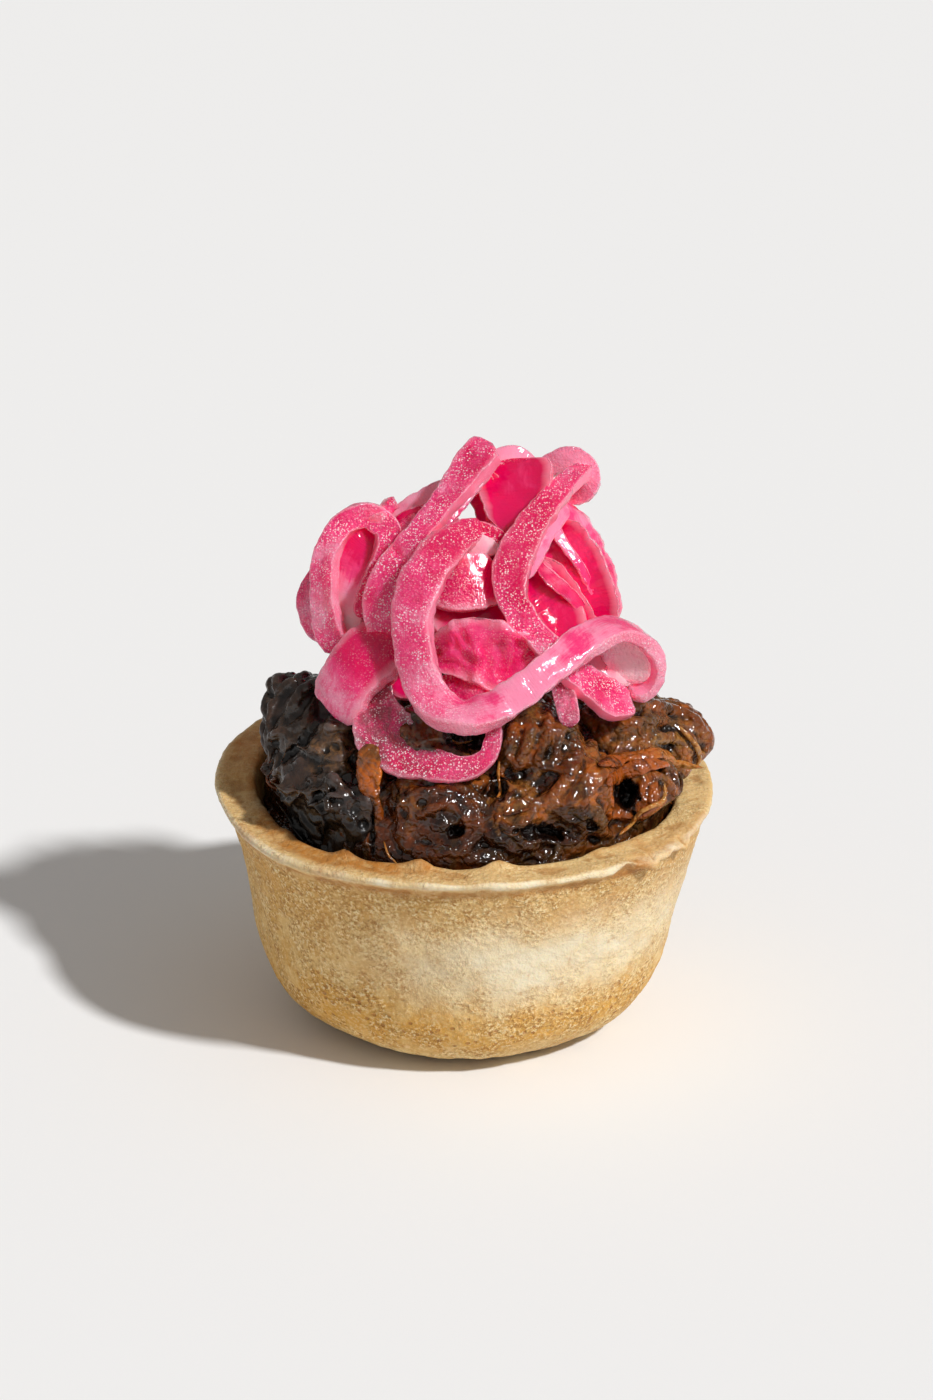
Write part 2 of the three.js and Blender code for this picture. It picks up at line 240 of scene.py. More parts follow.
# a plane is cut down to one corner, which is drawn out along the outline and spun round
def turnOutline(name, outline, steps):
    bpy.ops.mesh.primitive_plane_add(size=1 * mm, location=(0, 0, 0))
    piece = bpy.context.object
    piece.name = name
    editAll(piece)
    bpy.ops.mesh.merge(type="CENTER")
    leaveEdit()
    places = np.array([[r, 0, z] for r, z in outline])
    piece.data.vertices[0].co = Vector(places[0]) * mm
    editAll(piece)
    for step in np.diff(places, axis=0):
        bpy.ops.mesh.extrude_region_move(TRANSFORM_OT_translate={"value": Vector(step) * mm})
    bpy.ops.mesh.select_all(action="SELECT")
    bpy.ops.mesh.spin(steps=steps, angle=2 * math.pi, center=(0, 0, 0), axis=(0, 0, 1))
    leaveEdit()
    closeMesh(piece, 0.01 * mm)
    return piece


# a smooth line through the given points, resampled at even steps: places and distances in mm
def smoothLine(points, step):
    points = np.asarray(points, dtype=float)
    ends = np.vstack([2 * points[0] - points[1], points, 2 * points[-1] - points[-2]])
    knots = np.concatenate([[0], np.cumsum(np.linalg.norm(np.diff(ends, axis=0), axis=1) ** 0.5)])
    fine = []
    for k in range(1, len(ends) - 2):
        t0, t1, t2, t3 = knots[k - 1:k + 3]
        t = np.linspace(t1, t2, 24, endpoint=False)[:, None]
        p0, p1, p2, p3 = ends[k - 1:k + 3]
        a1 = (t1 - t) / (t1 - t0) * p0 + (t - t0) / (t1 - t0) * p1
        a2 = (t2 - t) / (t2 - t1) * p1 + (t - t1) / (t2 - t1) * p2
        a3 = (t3 - t) / (t3 - t2) * p2 + (t - t2) / (t3 - t2) * p3
        b1 = (t2 - t) / (t2 - t0) * a1 + (t - t0) / (t2 - t0) * a2
        b2 = (t3 - t) / (t3 - t1) * a2 + (t - t1) / (t3 - t1) * a3
        fine.append((t2 - t) / (t2 - t1) * b1 + (t - t1) / (t2 - t1) * b2)
    fine = np.vstack([*fine, points[-1:]])
    run = np.concatenate([[0], np.cumsum(np.linalg.norm(np.diff(fine, axis=0), axis=1))])
    count = max(6, int(round(run[-1] / step)))
    even = np.linspace(0, run[-1], count + 1)
    return np.stack([np.interp(even, run, fine[:, k]) for k in range(3)], axis=1), even


def spread(values, t):
    values = np.atleast_1d(values)
    return np.interp(t, np.linspace(0, 1, len(values)), values)


# for each ring, how many rings it is from the nearer end
def ringOrder(count):
    return np.minimum(np.arange(count), np.arange(count)[::-1])


# one ring of points round each place: every way is a pair of a direction and how far each point goes there
def ringsAround(places, *ways):
    rings = places[:, None, :]
    for direction, far in ways:
        rings = rings + direction[:, None, :] * far[..., None]
    return rings


def sweepRings(rings):
    count, around = rings.shape[:2]
    bpy.ops.mesh.primitive_grid_add(x_subdivisions=count - 1, y_subdivisions=around, size=1)
    piece = bpy.context.object
    across, up, _ = getVectors(piece.data.vertices, "co").T + 0.5
    i = np.rint(across * (count - 1)).astype(int)
    j = np.rint(up * around).astype(int) % around
    setPoints(piece, rings[i, j])
    return piece, i, j


# materials

def newMaterial(name, plain):
    material = bpy.data.materials.new(name)
    material.use_nodes = True
    tree = material.node_tree
    shader = tree.nodes["Principled BSDF"]
    for key, value in plain.items():
        shader.inputs[key].default_value = value
    return material, tree, shader


def addNode(tree, kind, values=None, **settings):
    node = tree.nodes.new(kind)
    for key, value in settings.items():
        setattr(node, key, value)
    for key, value in (values or {}).items():
        if isinstance(value, bpy.types.NodeSocket):
            tree.links.new(value, node.inputs[key])
        else:
            node.inputs[key].default_value = value
    return node


def math2(tree, operation, a, b=0.5, c=None, clamp=False):
    values = {0: a, 1: b}
    if c is not None:
        values[2] = c
    return addNode(tree, "ShaderNodeMath", values, operation=operation, use_clamp=clamp).outputs[0]


def product(tree, a, b, clamp=False):
    return math2(tree, "MULTIPLY", a, b, clamp=clamp)


def ramp(tree, value, low, high, lowOut=0.0, highOut=1.0):
    values = {"Value": value, "From Min": low, "From Max": high, "To Min": lowOut, "To Max": highOut}
    return addNode(tree, "ShaderNodeMapRange", values, interpolation_type="SMOOTHSTEP").outputs["Result"]


def mixColour(tree, factor, a, b):
    a, b = (value if isinstance(value, bpy.types.NodeSocket) else (*value, 1) for value in (a, b))
    return addNode(tree, "ShaderNodeMix", {0: factor, 6: a, 7: b}, data_type="RGBA").outputs[2]


# the base colour with each of the others laid over it by its own mask
def layOver(tree, colours, masks):
    colour = colours["base"]
    for key, mask in masks.items():
        colour = mixColour(tree, mask, colour, colours[key])
    return colour


def connect(tree, shader, sockets):
    for key, value in sockets.items():
        tree.links.new(value, shader.inputs[key])


def readPaint(tree, *names):
    return [addNode(tree, "ShaderNodeAttribute", attribute_name=name).outputs["Fac"] for name in names]


def grain(tree, place, size, detail=3.0, rough=0.55, warp=0.0, stretch=None):
    if stretch:
        place = addNode(tree, "ShaderNodeMapping", {"Vector": place, "Scale": stretch}).outputs[0]
    return addNode(tree, "ShaderNodeTexNoise", {
        "Vector": place, "Scale": 1 / (size * mm), "Detail": detail, "Roughness": rough,
        "Distortion": warp}).outputs["Fac"]


# cells of one size: how near a point is to its cell's middle, and glints in a share of the cells
def makeCellGroup():
    group = bpy.data.node_groups.new("wetCells", "ShaderNodeTree")
    sockets = {"Vector": ("INPUT", "Vector"), "Scale": ("INPUT", "Float"), "Share": ("INPUT", "Float"),
               "Dome": ("OUTPUT", "Float"), "Glint": ("OUTPUT", "Float")}
    for name, (way, kind) in sockets.items():
        group.interface.new_socket(name, in_out=way, socket_type="NodeSocket" + kind)
    given = group.nodes.new("NodeGroupInput").outputs
    result = group.nodes.new("NodeGroupOutput")
    cells = addNode(group, "ShaderNodeTexVoronoi", {key: given[key] for key in ("Vector", "Scale")}).outputs
    random = addNode(group, "ShaderNodeSeparateColor", {"Color": cells["Color"]}).outputs[0]
    steep = product(group, cells["Distance"], cells["Distance"])
    chosen = math2(group, "LESS_THAN", random, given["Share"])
    connect(group, result, {
        "Dome": math2(group, "SUBTRACT", 1.0, steep, clamp=True),
        "Glint": product(group, chosen, ramp(group, cells["Distance"], 0.42, 0.18))})
    return group


cellGroup = makeCellGroup()


def wetCells(tree, place, size, share):
    node = tree.nodes.new("ShaderNodeGroup")
    node.node_tree = cellGroup
    tree.links.new(place, node.inputs["Vector"])
    node.inputs["Scale"].default_value = 1 / (size * mm)
    node.inputs["Share"].default_value = share
    return node.outputs["Dome"], node.outputs["Glint"]


def addBump(tree, height, distance, strength=1.0, onto=None):
    values = {"Height": height, "Distance": distance * mm, "Strength": strength}
    if onto is not None:
        values["Normal"] = onto
    return addNode(tree, "ShaderNodeBump", values).outputs["Normal"]


# pastry shell

print("pastry shell")
shellSpec = {
    "rimRadius": 25.15, "rimHeight": 24.0, "baseCorner": 18.2, "wallLean": 0.2583, "baseFillet": 6.2,
    "innerRim": 21.0, "wall": 3.3, "floor": 3.4, "steps": 220,
    "bumps": [(-2.138, 0.75), (-1.78, 0.8), (-1.431, 0.7), (-2.5, 0.35), (-0.95, 0.3)],
    "tear": -0.69,
}


def wallRadius(z):
    return shellSpec["baseCorner"] + shellSpec["wallLean"] * z


def shellOutline():
    rim, top = shellSpec["rimRadius"], shellSpec["rimHeight"]
    flat = shellSpec["baseCorner"] - shellSpec["baseFillet"]
    inner, floor = shellSpec["innerRim"], shellSpec["floor"]
    foot = wallRadius(floor) - shellSpec["wall"]
    return [
        [0.001, 0], [flat - 0.6, 0], [flat + 0.8, 0.1], [flat + 2.6, 0.6], [flat + 5.1, 2], [flat + 6.7, 3.9],
        *[[wallRadius(z), z] for z in (6.4, 10, 15, 19.2)], [wallRadius(21) + 0.1, 21], [rim - 0.85, 22.7],
        [rim - 0.42, 23.25], [rim - 0.1, 23.55], [rim, 23.8], [rim - 0.08, 24.05], [rim - 0.45, 24.16],
        [rim - 2.0, 24.2], [inner + 0.7, top + 0.36], [inner + 0.2, top + 0.24], [inner, top - 0.25],
        [inner - 0.4, top - 1.6], [(inner + foot) / 2, 12.5], [foot, floor + 4.2], [foot - 1.6, floor + 1.5],
        [foot - 5, floor], [0.001, floor],
    ]


def shapeShell(piece):
    points = getPoints(piece)
    x, y, z = points.T.copy()
    radius, angle, tear = np.hypot(x, y), np.arctan2(y, x), shellSpec["tear"]
    outside = smoothStep(-2.2, -0.6, radius - wallRadius(z))
    wander = 0.22 * np.sin(2 * angle) * np.sin(5 * angle + 0.7) * smoothStep(2, 8, z)
    wander += 0.75 * bell(angle, -2.95, 0.75) * hump(z, 8.5, 5) * outside
    scale = np.where(radius > 1, (radius + wander) / np.maximum(radius, 1), 1)
    points[:, :2] *= scale[:, None]
    rise = 1.5 * bell(angle, 2.6, 0.5) - 0.25 * bell(angle, 0.15, 0.5) + 0.12 * np.sin(4 * angle + 1.3)
    points[:, 2] += smoothStep(9, 22, z) * rise
    # the rim: small pinched bumps on the inner edge and a torn flap that hangs over the wall
    ring = smoothStep(22.4, 23.9, z)
    innerEdge = ring * hump(radius, 21.3, 0.8)
    for centre, height in shellSpec["bumps"]:
        points[:, 2] += innerEdge * height * bell(angle, centre, 0.055)
    points[:, 2] += ring * 0.28 * noiseRound(angle, 6, radius * 0.12)
    ragged, jagged = noiseRound(angle, 22, 3), noiseRound(angle, 52, 7)
    lip = smoothStep(24.1, 24.75, radius) * smoothStep(22.7, 23.3, z)
    flap = bell(angle, tear, 0.2) * lip
    points[:, 2] -= flap * (0.3 + 0.8 * ragged + 0.7 * jagged) + 0.12 * lip * ragged
    points[:, 2] += 0.75 * bell(angle, tear - 0.2, 0.05) * lip * smoothStep(24.1, 23.7, z)
    pressed = 0.022 * bell(angle, -0.12, 0.5) * smoothStep(23.2, 25, radius)
    points[:, :2] *= (1 + 0.016 * flap * (1 + jagged) - pressed)[:, None]
    # the front of the rim is narrower than its left side
    narrow = smoothStep(22.6, 21.0, radius) * smoothStep(21, 23, z) * bell(angle, -1.45, 0.9) * 0.45
    points[:, :2] *= (1 + narrow / np.maximum(radius, 1))[:, None]
    # the foot is crumbly
    foot = smoothStep(3.2, 0.4, z) * smoothStep(12, 14, radius)
    points[:, 2] += np.where(z < 3.2, 0.35 * foot * np.clip(noiseAt(points, 0.9), 0, 1), 0)
    setPoints(piece, points)


def colourShell(piece):
    points = getPoints(piece)
    x, y, z = points.T
    radius, angle, tear = np.hypot(x, y), np.arctan2(y, x), shellSpec["tear"]
    drift = noiseAt(points, 0.16)
    fine = noiseAt(points, 0.55, (9, 4, 2))
    wall = smoothStep(-1.2, -0.2, radius - wallRadius(z)) * (1 - smoothStep(21.4, 22.6, z))
    rim = smoothStep(22.2, 23.2, z)
    pale = hump(z + 2.4 * drift, 13.6, 4.0) * bell(angle, -1.26, 0.6)
    pale += 0.45 * hump(z, 15, 4.5) * bell(angle, -0.45, 0.5)
    pale = np.clip(pale * (1 + 0.5 * fine), 0, 1) * wall
    gold = smoothStep(12.5, 6.5, z + 3.6 * drift + 2.0 * fine)
    gold = np.maximum(gold, 0.55 * bell(angle, -2.5, 0.7)) * wall
    band = smoothStep(14.5, 19.0, z + 3 * drift) * wall * (0.85 + 0.6 * fine)
    toast = 2.2 * bell(angle, -2.2, 0.42) * smoothStep(24.8, 22.4, radius) * (0.85 + 0.9 * fine)
    toast += smoothStep(0.1, 0.5, drift + 0.5 * fine) * 0.4
    toast += 0.9 * smoothStep(22.6, 21.3, radius) * (0.3 + 0.9 * fine)
    toast += 0.75 * bell(angle, 2.9, 0.42) * smoothStep(24.9, 24, radius)
    burnt = bell(angle, -2.35, 0.5) * rim * smoothStep(22.2, 21.5, radius + 0.4 * fine)
    # painted shade under the lip and in the tear, laid in with the toasted brown
    shade = 0.7 * hump(z, 22.7, 0.55) * smoothStep(23.2, 23.8, radius) * smoothStep(24.9, 24.6, radius)
    torn = smoothStep(21.6, 22.8, z) * smoothStep(24.4, 23.6, z) * smoothStep(23, 24, radius)
    shade += bell(angle, tear - 0.17, 0.07) * torn
    # painted highlight: a pale line along the outer edge of the lip, laid in with the pale patch
    lip = smoothStep(24.6, 24.95, radius) * smoothStep(23.1, 23.4, z) * (0.75 + 0.8 * fine)
    pale = np.maximum(pale, lip * (1 - 0.6 * bell(angle, -2.2, 0.2)))
    paint(piece, pale=pale, gold=gold, band=band, toast=toast * rim + shade, rim=rim, burnt=burnt)
    # painted shade: hollows of the relief are darkened
    paint(piece, -1, pit=hollowness(piece, 6) / 0.05)


pastryColours = {
    "base": (0.62, 0.37, 0.11), "dough": (0.78, 0.56, 0.25), "band": (0.58, 0.31, 0.085),
    "gold": (0.68, 0.35, 0.055), "rim": (0.7, 0.47, 0.2), "pale": (0.83, 0.73, 0.52),
    "low": (0.38, 0.17, 0.04), "high": (0.92, 0.72, 0.4), "toast": (0.5, 0.2, 0.035),
    "burnt": (0.16, 0.05, 0.012), "pit": (0.42, 0.18, 0.04), "pore": (0.42, 0.16, 0.03),
}
pastryPaints = ("pale", "gold", "band", "toast", "pit", "rim", "burnt")


def makePastry():
    material, tree, shader = newMaterial("bakedShortcrust", {
        "Roughness": 0.62, "Subsurface Weight": 0.12, "Subsurface Radius": (1.2, 0.6, 0.25),
        "Subsurface Scale": 0.0012, "Specular IOR Level": 0.35})
    place = addNode(tree, "ShaderNodeTexCoord").outputs["Object"]
    pale, gold, band, toast, pit, rim, burnt = readPaint(tree, *pastryPaints)
    mottle = grain(tree, place, 2.6, 4, 0.62)
    blotch = grain(tree, place, 0.9, 3, 0.6)
    patch = grain(tree, place, 3.6, 2, 0.5)
    flake = grain(tree, place, 0.36, 2, 0.7)
    # pale flakes with browned hollows between them, fewer on the pale patch
    plain = math2(tree, "MAXIMUM", pale, product(tree, rim, 0.6))
    amount = product(tree, ramp(tree, blotch, 0.36, 0.58, 0.3), ramp(tree, patch, 0.36, 0.58, 0.25))
    amount = product(tree, amount, math2(tree, "SUBTRACT", 1.0, plain, clamp=True))
    low = product(tree, ramp(tree, flake, 0.5, 0.38), amount)
    high = product(tree, ramp(tree, flake, 0.52, 0.62), math2(tree, "MULTIPLY_ADD", amount, 0.75, 0.2))
    # small open pores in the golden part
    dome, pore = wetCells(tree, place, 0.7, 0.4)
    pore = product(tree, pore, math2(tree, "ADD", gold, 0.06))
    colour = layOver(tree, pastryColours, {
        "dough": ramp(tree, mottle, 0.38, 0.62),
        "band": product(tree, band, ramp(tree, patch, 0.6, 0.4, 0.45)),
        "gold": product(tree, gold, ramp(tree, mottle, 0.62, 0.4, 0.6)), "rim": rim, "pale": pale,
        "low": product(tree, low, 0.85), "high": high,
        "toast": product(tree, toast, ramp(tree, blotch, 0.3, 0.6, 0.5), clamp=True),
        # painted shade in the hollows of the relief
        "burnt": product(tree, burnt, 0.85), "pit": ramp(tree, pit, 0.3, 1.0, 0.0, 0.6),
        "pore": product(tree, pore, 0.7)})
    relief = product(tree, flake, math2(tree, "MULTIPLY_ADD", amount, 1.4, 0.5))
    relief = math2(tree, "ADD", relief, product(tree, dome, gold))
    normal = addBump(tree, math2(tree, "SUBTRACT", relief, pore), 0.16, 0.9)
    connect(tree, shader, {"Base Color": colour, "Roughness": ramp(tree, mottle, 0.3, 0.7, 0.55, 0.78),
                           "Normal": addBump(tree, blotch, 0.4, 0.5, normal)})
    return material


outline, _ = smoothLine([[r, 0, z] for r, z in shellOutline()], 0.33)
pastryShell = turnOutline("pastryShell", outline[:, [0, 2]], shellSpec["steps"])
shapeShell(pastryShell)
roughen(pastryShell, 7.0, 0.5, 1)
roughen(pastryShell, 1.6, 0.2, 2)
roughen(pastryShell, 0.6, 0.1, 2)
onFloor = getPoints(pastryShell)
onFloor[:, 2] = np.maximum(onFloor[:, 2], 0)
setPoints(pastryShell, onFloor)
colourShell(pastryShell)
finishPiece(pastryShell, "pastry_shell", makePastry())

# filling: lumps with fibres laid over them as the photo shows them, melted into one skin

print("filling")
heapSpec = {
    "outline": [[0.001, 19.2], [19.6, 19.2], [20.4, 21.5], [20.5, 23.4], [19.9, 25], [18.9, 26.6],
                [17.4, 28.4], [14.6, 30.9], [11, 32.8], [7, 34], [3, 34.5], [0.001, 34.6]],
    "lumps": [
        ([-2.6, -4.4, 14.4], [5.2, 4.8, 5.0], 0), ([4.2, -5.4, 15.0], [4, 4, 4.2], 0),
        ([9.8, -2, 13.2], [5, 5, 4.4], -0.5), ([6.6, 3, 13.2], [4.4, 4.2, 3.8], 0),
        ([-3.4, 3.4, 13.8], [4.6, 4.2, 3.4], 0), ([16, -2.4, 8.6], [4.8, 4.4, 4.3], 0.6),
        ([15, 3.8, 5.4], [4.6, 4.6, 3.6], 0), ([19.6, 3.2, 1], [4.4, 5.2, 3.5], 0),
        ([14.2, 5.2, -7], [5.6, 5, 4], 0), ([3.5, 7.6, -13.5], [6, 4.6, 3.8], 0),
        ([-9.4, 7.4, -9.5], [5.8, 5.2, 4.4], 0)],
    "voxel": 0.245, "cut": 22.0,
    "fibres": {"count": 900, "seed": 11, "sizes": (0.16, 0.46), "lengths": (3.5, 12), "above": (21.5, 24)},
    "relief": [(1.9, 0.5, "SOFT"), (0.75, 0.2, "SOFT")],
    "plug": [[0.001, 3.7], [13.4, 3.7], [15.6, 5.2], [17.0, 8], [18.5, 12.5], [20.1, 22.3], [0.001, 22.3]],
}
chunkSpec = {
    "lumps": [
        ([-15.3, 4.9, 5.5], [4.6, 5.9, 5.1], 0.2), ([-14.2, -2.6, 10.2], [5.0, 5.3, 5.2], 0.5),
        ([-11.8, -4.2, 13.0], [3.4, 4.2, 4.9], 0), ([-12.7, 2.4, 10.4], [3.9, 4.0, 3.7], 0)],
    "voxel": 0.17, "inside": (19.9, [22, 25, 29, 33]), "relief": [(3.2, 1.0, "HARD"), (1.5, 0.2, "SOFT")],
    "fibres": {"count": 40, "seed": 23, "sizes": (0.3, 0.8), "lengths": (4, 10), "above": (19.5, 22)},
}
fibreStep = 0.6  # between the points of a seeded fibre
bodyVoxel = 0.6  # of the rough body under the fibres
threadSpec = {"count": 36, "seed": 17, "sizes": (0.1, 0.2), "lengths": (2.5, 6.5), "above": (21.5, 24)}

# fibres as the eye sees them: [across, up] points in mm, radius, then how amber and how tan they are
meatLines = [
    ([(-10.1, 2.2), (-10.6, 0.2), (-10.35, -2.3), (-9.6, -3.6)], 0.62, 1.0, 0.1),
    ([(-8.9, 1.9), (-8.4, 0.2), (-8.6, -1.8)], 0.5, 0.95, 0.1),
    ([(-9.6, 2.4), (-9.4, 0.4), (-9.6, -1.6), (-9.0, -3.4)], 0.5, 0.9, 0.2),
    ([(-8.6, -3), (-8.6, -5.3), (-8.1, -7.5), (-7.6, -8.8)], 0.5, 0.2, 0),
    ([(-7.6, -1.5), (-7.8, -3.8), (-7.6, -6.3), (-6.6, -8.3)], 0.5, 0.25, 0),
    ([(-7.4, -1.8), (-6.3, -1.1), (-4.1, -0.9), (-1.3, -1.3), (0.6, -2.5), (1.8, -4.0), (1.7, -5.3)],
     0.7, 0.6, 0.1),
    ([(-6.6, -3), (-4.6, -2.3), (-2.1, -2.1), (-0.1, -3.3), (0.9, -5), (0.4, -6.8), (-1.1, -8), (-3.1, -8.3),
     (-4.6, -7.6)], 0.75, 0.35, 0),
    ([(-5.1, -4.8), (-3.6, -3.6), (-1.6, -3.3), (-0.3, -4.5), (-0.3, -6.3), (-1.6, -7.3), (-3.1, -6.8)],
     0.6, 0.3, 0),
    ([(-6.3, -4.3), (-6.1, -6.3), (-5.1, -8.3)], 0.7, 0.35, 0),
    ([(-5.3, -8), (-3.6, -8.8), (-1.1, -9), (1.1, -8.6), (2.4, -7.6)], 0.6, 0.2, 0),
    ([(1.9, -5.3), (3.4, -6.8), (4.9, -8)], 0.5, 0.2, 0),
    ([(2.4, -4.3), (4.4, -5.8), (6.1, -7.8)], 0.5, 0.25, 0),
    ([(2.4, -3.8), (3.9, -2.8), (5.6, -1.6), (7.1, -0.8)], 0.55, 0.4, 0.55),
    ([(3.4, -4.8), (5.4, -3.3), (6.9, -1.8)], 0.55, 0.5, 0.45),
    ([(4.1, -5.5), (6.1, -4.3), (7.9, -2.3)], 0.55, 0.35, 0.3),
    ([(6.9, -4.3), (8.4, -2.8), (9.9, -0.8), (10.9, 1.2), (11.1, 3.2)], 0.7, 0.75, 0.2),
    ([(8.6, -4.8), (10.4, -2.8), (11.9, -0.8), (12.4, 1.4), (12.1, 3.2)], 0.65, 0.65, 0.3),
    ([(9.9, -4.3), (11.9, -2.3), (13.4, -0.3), (13.4, 1.9)], 0.6, 0.8, 0.1),
    ([(4.9, 5.7), (4.6, 3.2), (3.9, 1.2), (3.1, -0.8)], 0.6, 0.45, 0.2),
    ([(6.4, 5.9), (6.4, 3.7), (5.6, 1.4), (4.9, -0.3)], 0.55, 0.3, 0.4),
    ([(7.9, 6.7), (8.1, 4.4), (7.4, 2.2), (6.4, 0.2)], 0.6, 0.6, 0.15),
    ([(9.1, 7.2), (9.6, 4.9), (9.1, 3.2), (9, 1)], 0.6, 0.55, 0.2),
    ([(12.4, 4.9), (14.9, 5.7), (17.9, 6.3), (20.9, 5.8), (23.0, 4.6), (24.0, 2.7), (24.0, 0.7)],
     0.75, 0.75, 0.15),
    ([(12.9, 3.7), (14.9, 4.4), (17.4, 4.9), (19.9, 4.7), (21.9, 3.4), (23.1, 1.7)], 0.7, 0.45, 0.35),
    ([(16.4, 3.2), (18.9, 3.4), (20.9, 3.2), (22.4, 1.9)], 0.65, 0.2, 0.95),
    ([(13.1, 2.2), (15.4, 2.4), (17.9, 1.9), (20.4, 1.7)], 0.6, 0.3, 0.4),
    ([(21.2, 4.4), (22.7, 2.9), (23.3, 1.4), (22.7, 0.2)], 0.3, 0.5, 0.9),
    ([(14.8, -2.0), (15.0, -0.3), (16.6, 0.4), (18.3, -0.3), (18.6, -2.4), (17.6, -4.1), (15.9, -4.4)],
     0.55, 0.9, 0.1),
    ([(12.4, -2.8), (13.1, -4.8), (13.6, -6.2), (14.4, -6.6)], 0.85, 0.85, 0.35),
    ([(10.9, -2.3), (11.6, -4.3), (12.4, -5.8)], 0.7, 0.5, 0.1),
    ([(5.4, -6.8), (7.9, -6.5), (10.4, -6.8), (11.9, -6.2)], 0.6, 0.1, 0),
    ([(9.4, -7.5), (10.9, -7), (11.9, -7.3)], 0.55, 0.3, 0.5),
    ([(-5.6, 5.9), (-4.6, 3.7), (-3.1, 2.4), (-1.3, 2.2)], 0.55, 0.3, 0.1),
    ([(-6.8, 4.8), (-5.4, 2.7), (-3.4, 1.2)], 0.55, 0.35, 0.15),
    ([(12, 8.4), (14.4, 7.4), (17, 7.0), (19.4, 6.8)], 0.6, 0.5, 0.3),
    ([(-14, 4.6), (-12.6, 4.2), (-11.4, 4.6)], 0.45, 1.0, 0.1),
]
chunkLines = [
    ([(-16.4, 9.4), (-17.2, 8.9), (-18.6, 7.7), (-19.5, 5.2), (-20.1, 2.2)], 0.68, 0.1, 0.1),
    ([(-15.3, 9), (-16.6, 7.5), (-18.1, 5.5), (-19.1, 3.2), (-19.8, 0.7)], 0.58, 0, 0.2),
    ([(-15.1, 7.5), (-15.8, 5.7), (-17.1, 4), (-18.3, 2), (-19.3, -0.3)], 0.61, 0, 0.15),
    ([(-15.3, 5.7), (-16.3, 4.2), (-17.6, 2.7), (-18.6, 1)], 0.48, 0, 0.35),
    ([(-14.4, 4.2), (-12.6, 4.4), (-11.1, 4.2)], 0.48, 0.2, 0.8),
    ([(-15.6, 2.7), (-14.3, 1.7), (-12.6, 1.4), (-11.1, 2.4)], 0.54, 0, 0.9),
    ([(-15.1, 0.7), (-13.1, 0.2), (-11.3, 0.7)], 0.51, 0, 0.75),
    ([(-13.8, 2.7), (-13.3, 1.9), (-12.3, 1.9), (-12.6, 2.9), (-13.5, 3.0)], 0.34, 0.1, 1.0),
    ([(-20.1, -0.8), (-18.1, -1.6), (-15.6, -1.8), (-13.1, -1.6)], 0.51, 0, 0.15),
    ([(-19.6, -2.8), (-18.6, -4.3), (-16.8, -6), (-15.1, -7.3)], 0.54, 0, 0),
    ([(-15.3, -3), (-14.3, -4.3), (-14.1, -6), (-14.3, -7.5)], 0.48, 0, 0),
    ([(-12.1, -1.8), (-11.8, -3.8), (-10.8, -5.8), (-10.1, -7.8)], 0.48, 0, 0),
    ([(-12.9, -2.3), (-12.6, -4.3), (-11.8, -6.5), (-11.6, -8)], 0.41, 0, 0),
]


def makeLumps(lumps):
    pieces = []
    for at, size, turn in lumps:
        bpy.ops.mesh.primitive_ico_sphere_add(subdivisions=4, radius=mm, location=fromView(at) * mm,
                                              rotation=(0, 0, turn), scale=size)
        bpy.ops.object.transform_apply(location=True, rotation=True, scale=True)
        pieces.append(bpy.context.object)
    return pieces


def surfaceTree(piece):
    faces = [list(face.vertices) for face in piece.data.polygons]
    return BVHTree.FromPolygons([Vector(p) for p in getPoints(piece)], faces)


eyePoint = Vector(fromView([0, 0, eye["distance"]]))


# a line of the drawing is carried from the eye onto the body; past its edge it keeps its last depth
def layOnBody(tree, line, radius):
    rays = [(Vector(fromView([across, up, 0])) - eyePoint).normalized() for across, up in line]
    hits = [tree.ray_cast(eyePoint, ray, 2 * eye["distance"]) for ray in rays]
    depth = next((distance for hit, _, _, distance in hits if hit is not None), eye["distance"] - 12)
    places = []
    for ray, (hit, normal, _, distance) in zip(rays, hits):
        if hit is None:
            places.append(eyePoint + ray * depth)
        else:
            depth = distance
            places.append(hit + normal * radius * 0.35)
    return places


# fine fibres laid on the surface at random, that run as the drawn ones near them do
def seedFibres(piece, tree, drawn, spec):
    rng = np.random.default_rng(spec["seed"])
    points = getPoints(piece)
    piece.data.calc_loop_triangles()
    triangles = np.array([list(t.vertices) for t in piece.data.loop_triangles])
    a, b, c = (points[triangles[:, k]] for k in range(3))
    middle = (a + b + c) / 3
    area = np.linalg.norm(np.cross(b - a, c - a), axis=1) * smoothStep(*spec["above"], middle[:, 2])
    fibres = []
    for pickIndex in rng.choice(len(area), size=spec["count"], p=area / area.sum()):
        start = Vector(middle[pickIndex])
        radius = rng.uniform(*spec["sizes"])
        steps = max(5, int(rng.uniform(*spec["lengths"]) / fibreStep))
        bend = rng.uniform(-0.1, 0.1)
        lift = rng.uniform(-0.1, 0.45)
        swing = rng.normal(0, 0.22)
        near = drawn["finder"].find_n(start, 5)
        heading = Vector((0, 0, 0))
        for _, index, distance in near:
            way = drawn["ways"][index]
            if heading.dot(way) < 0:
                way = -way
            heading += way * math.exp(-distance / 2.5)
        wild = noise.noise_vector(start * 0.13) + noise.noise_vector(start * 0.05 + Vector((5, 2, 8)))
        heading = heading + wild * (0.12 + 0.5 * min(1, near[0][2] / 8))
        _, normal, _, _ = tree.find_nearest(start)
        heading = (heading - normal * heading.dot(normal)).normalized()
        heading.rotate(Quaternion(normal, swing))
        if rng.random() < 0.5:
            heading = -heading
        line = []
        for k in range(steps + 1):
            spot, normal, _, _ = tree.find_nearest(start)
            arch = math.sin(math.pi * k / steps)
            line.append(spot + normal * (radius * (-0.7 + 1.0 * arch) + lift * arch))
            heading = (heading - normal * heading.dot(normal)).normalized()
            heading.rotate(Quaternion(normal, bend + rng.normal(0, 0.07)))
            start = spot + heading * fibreStep
        fibres.append((line, radius))
    return fibres


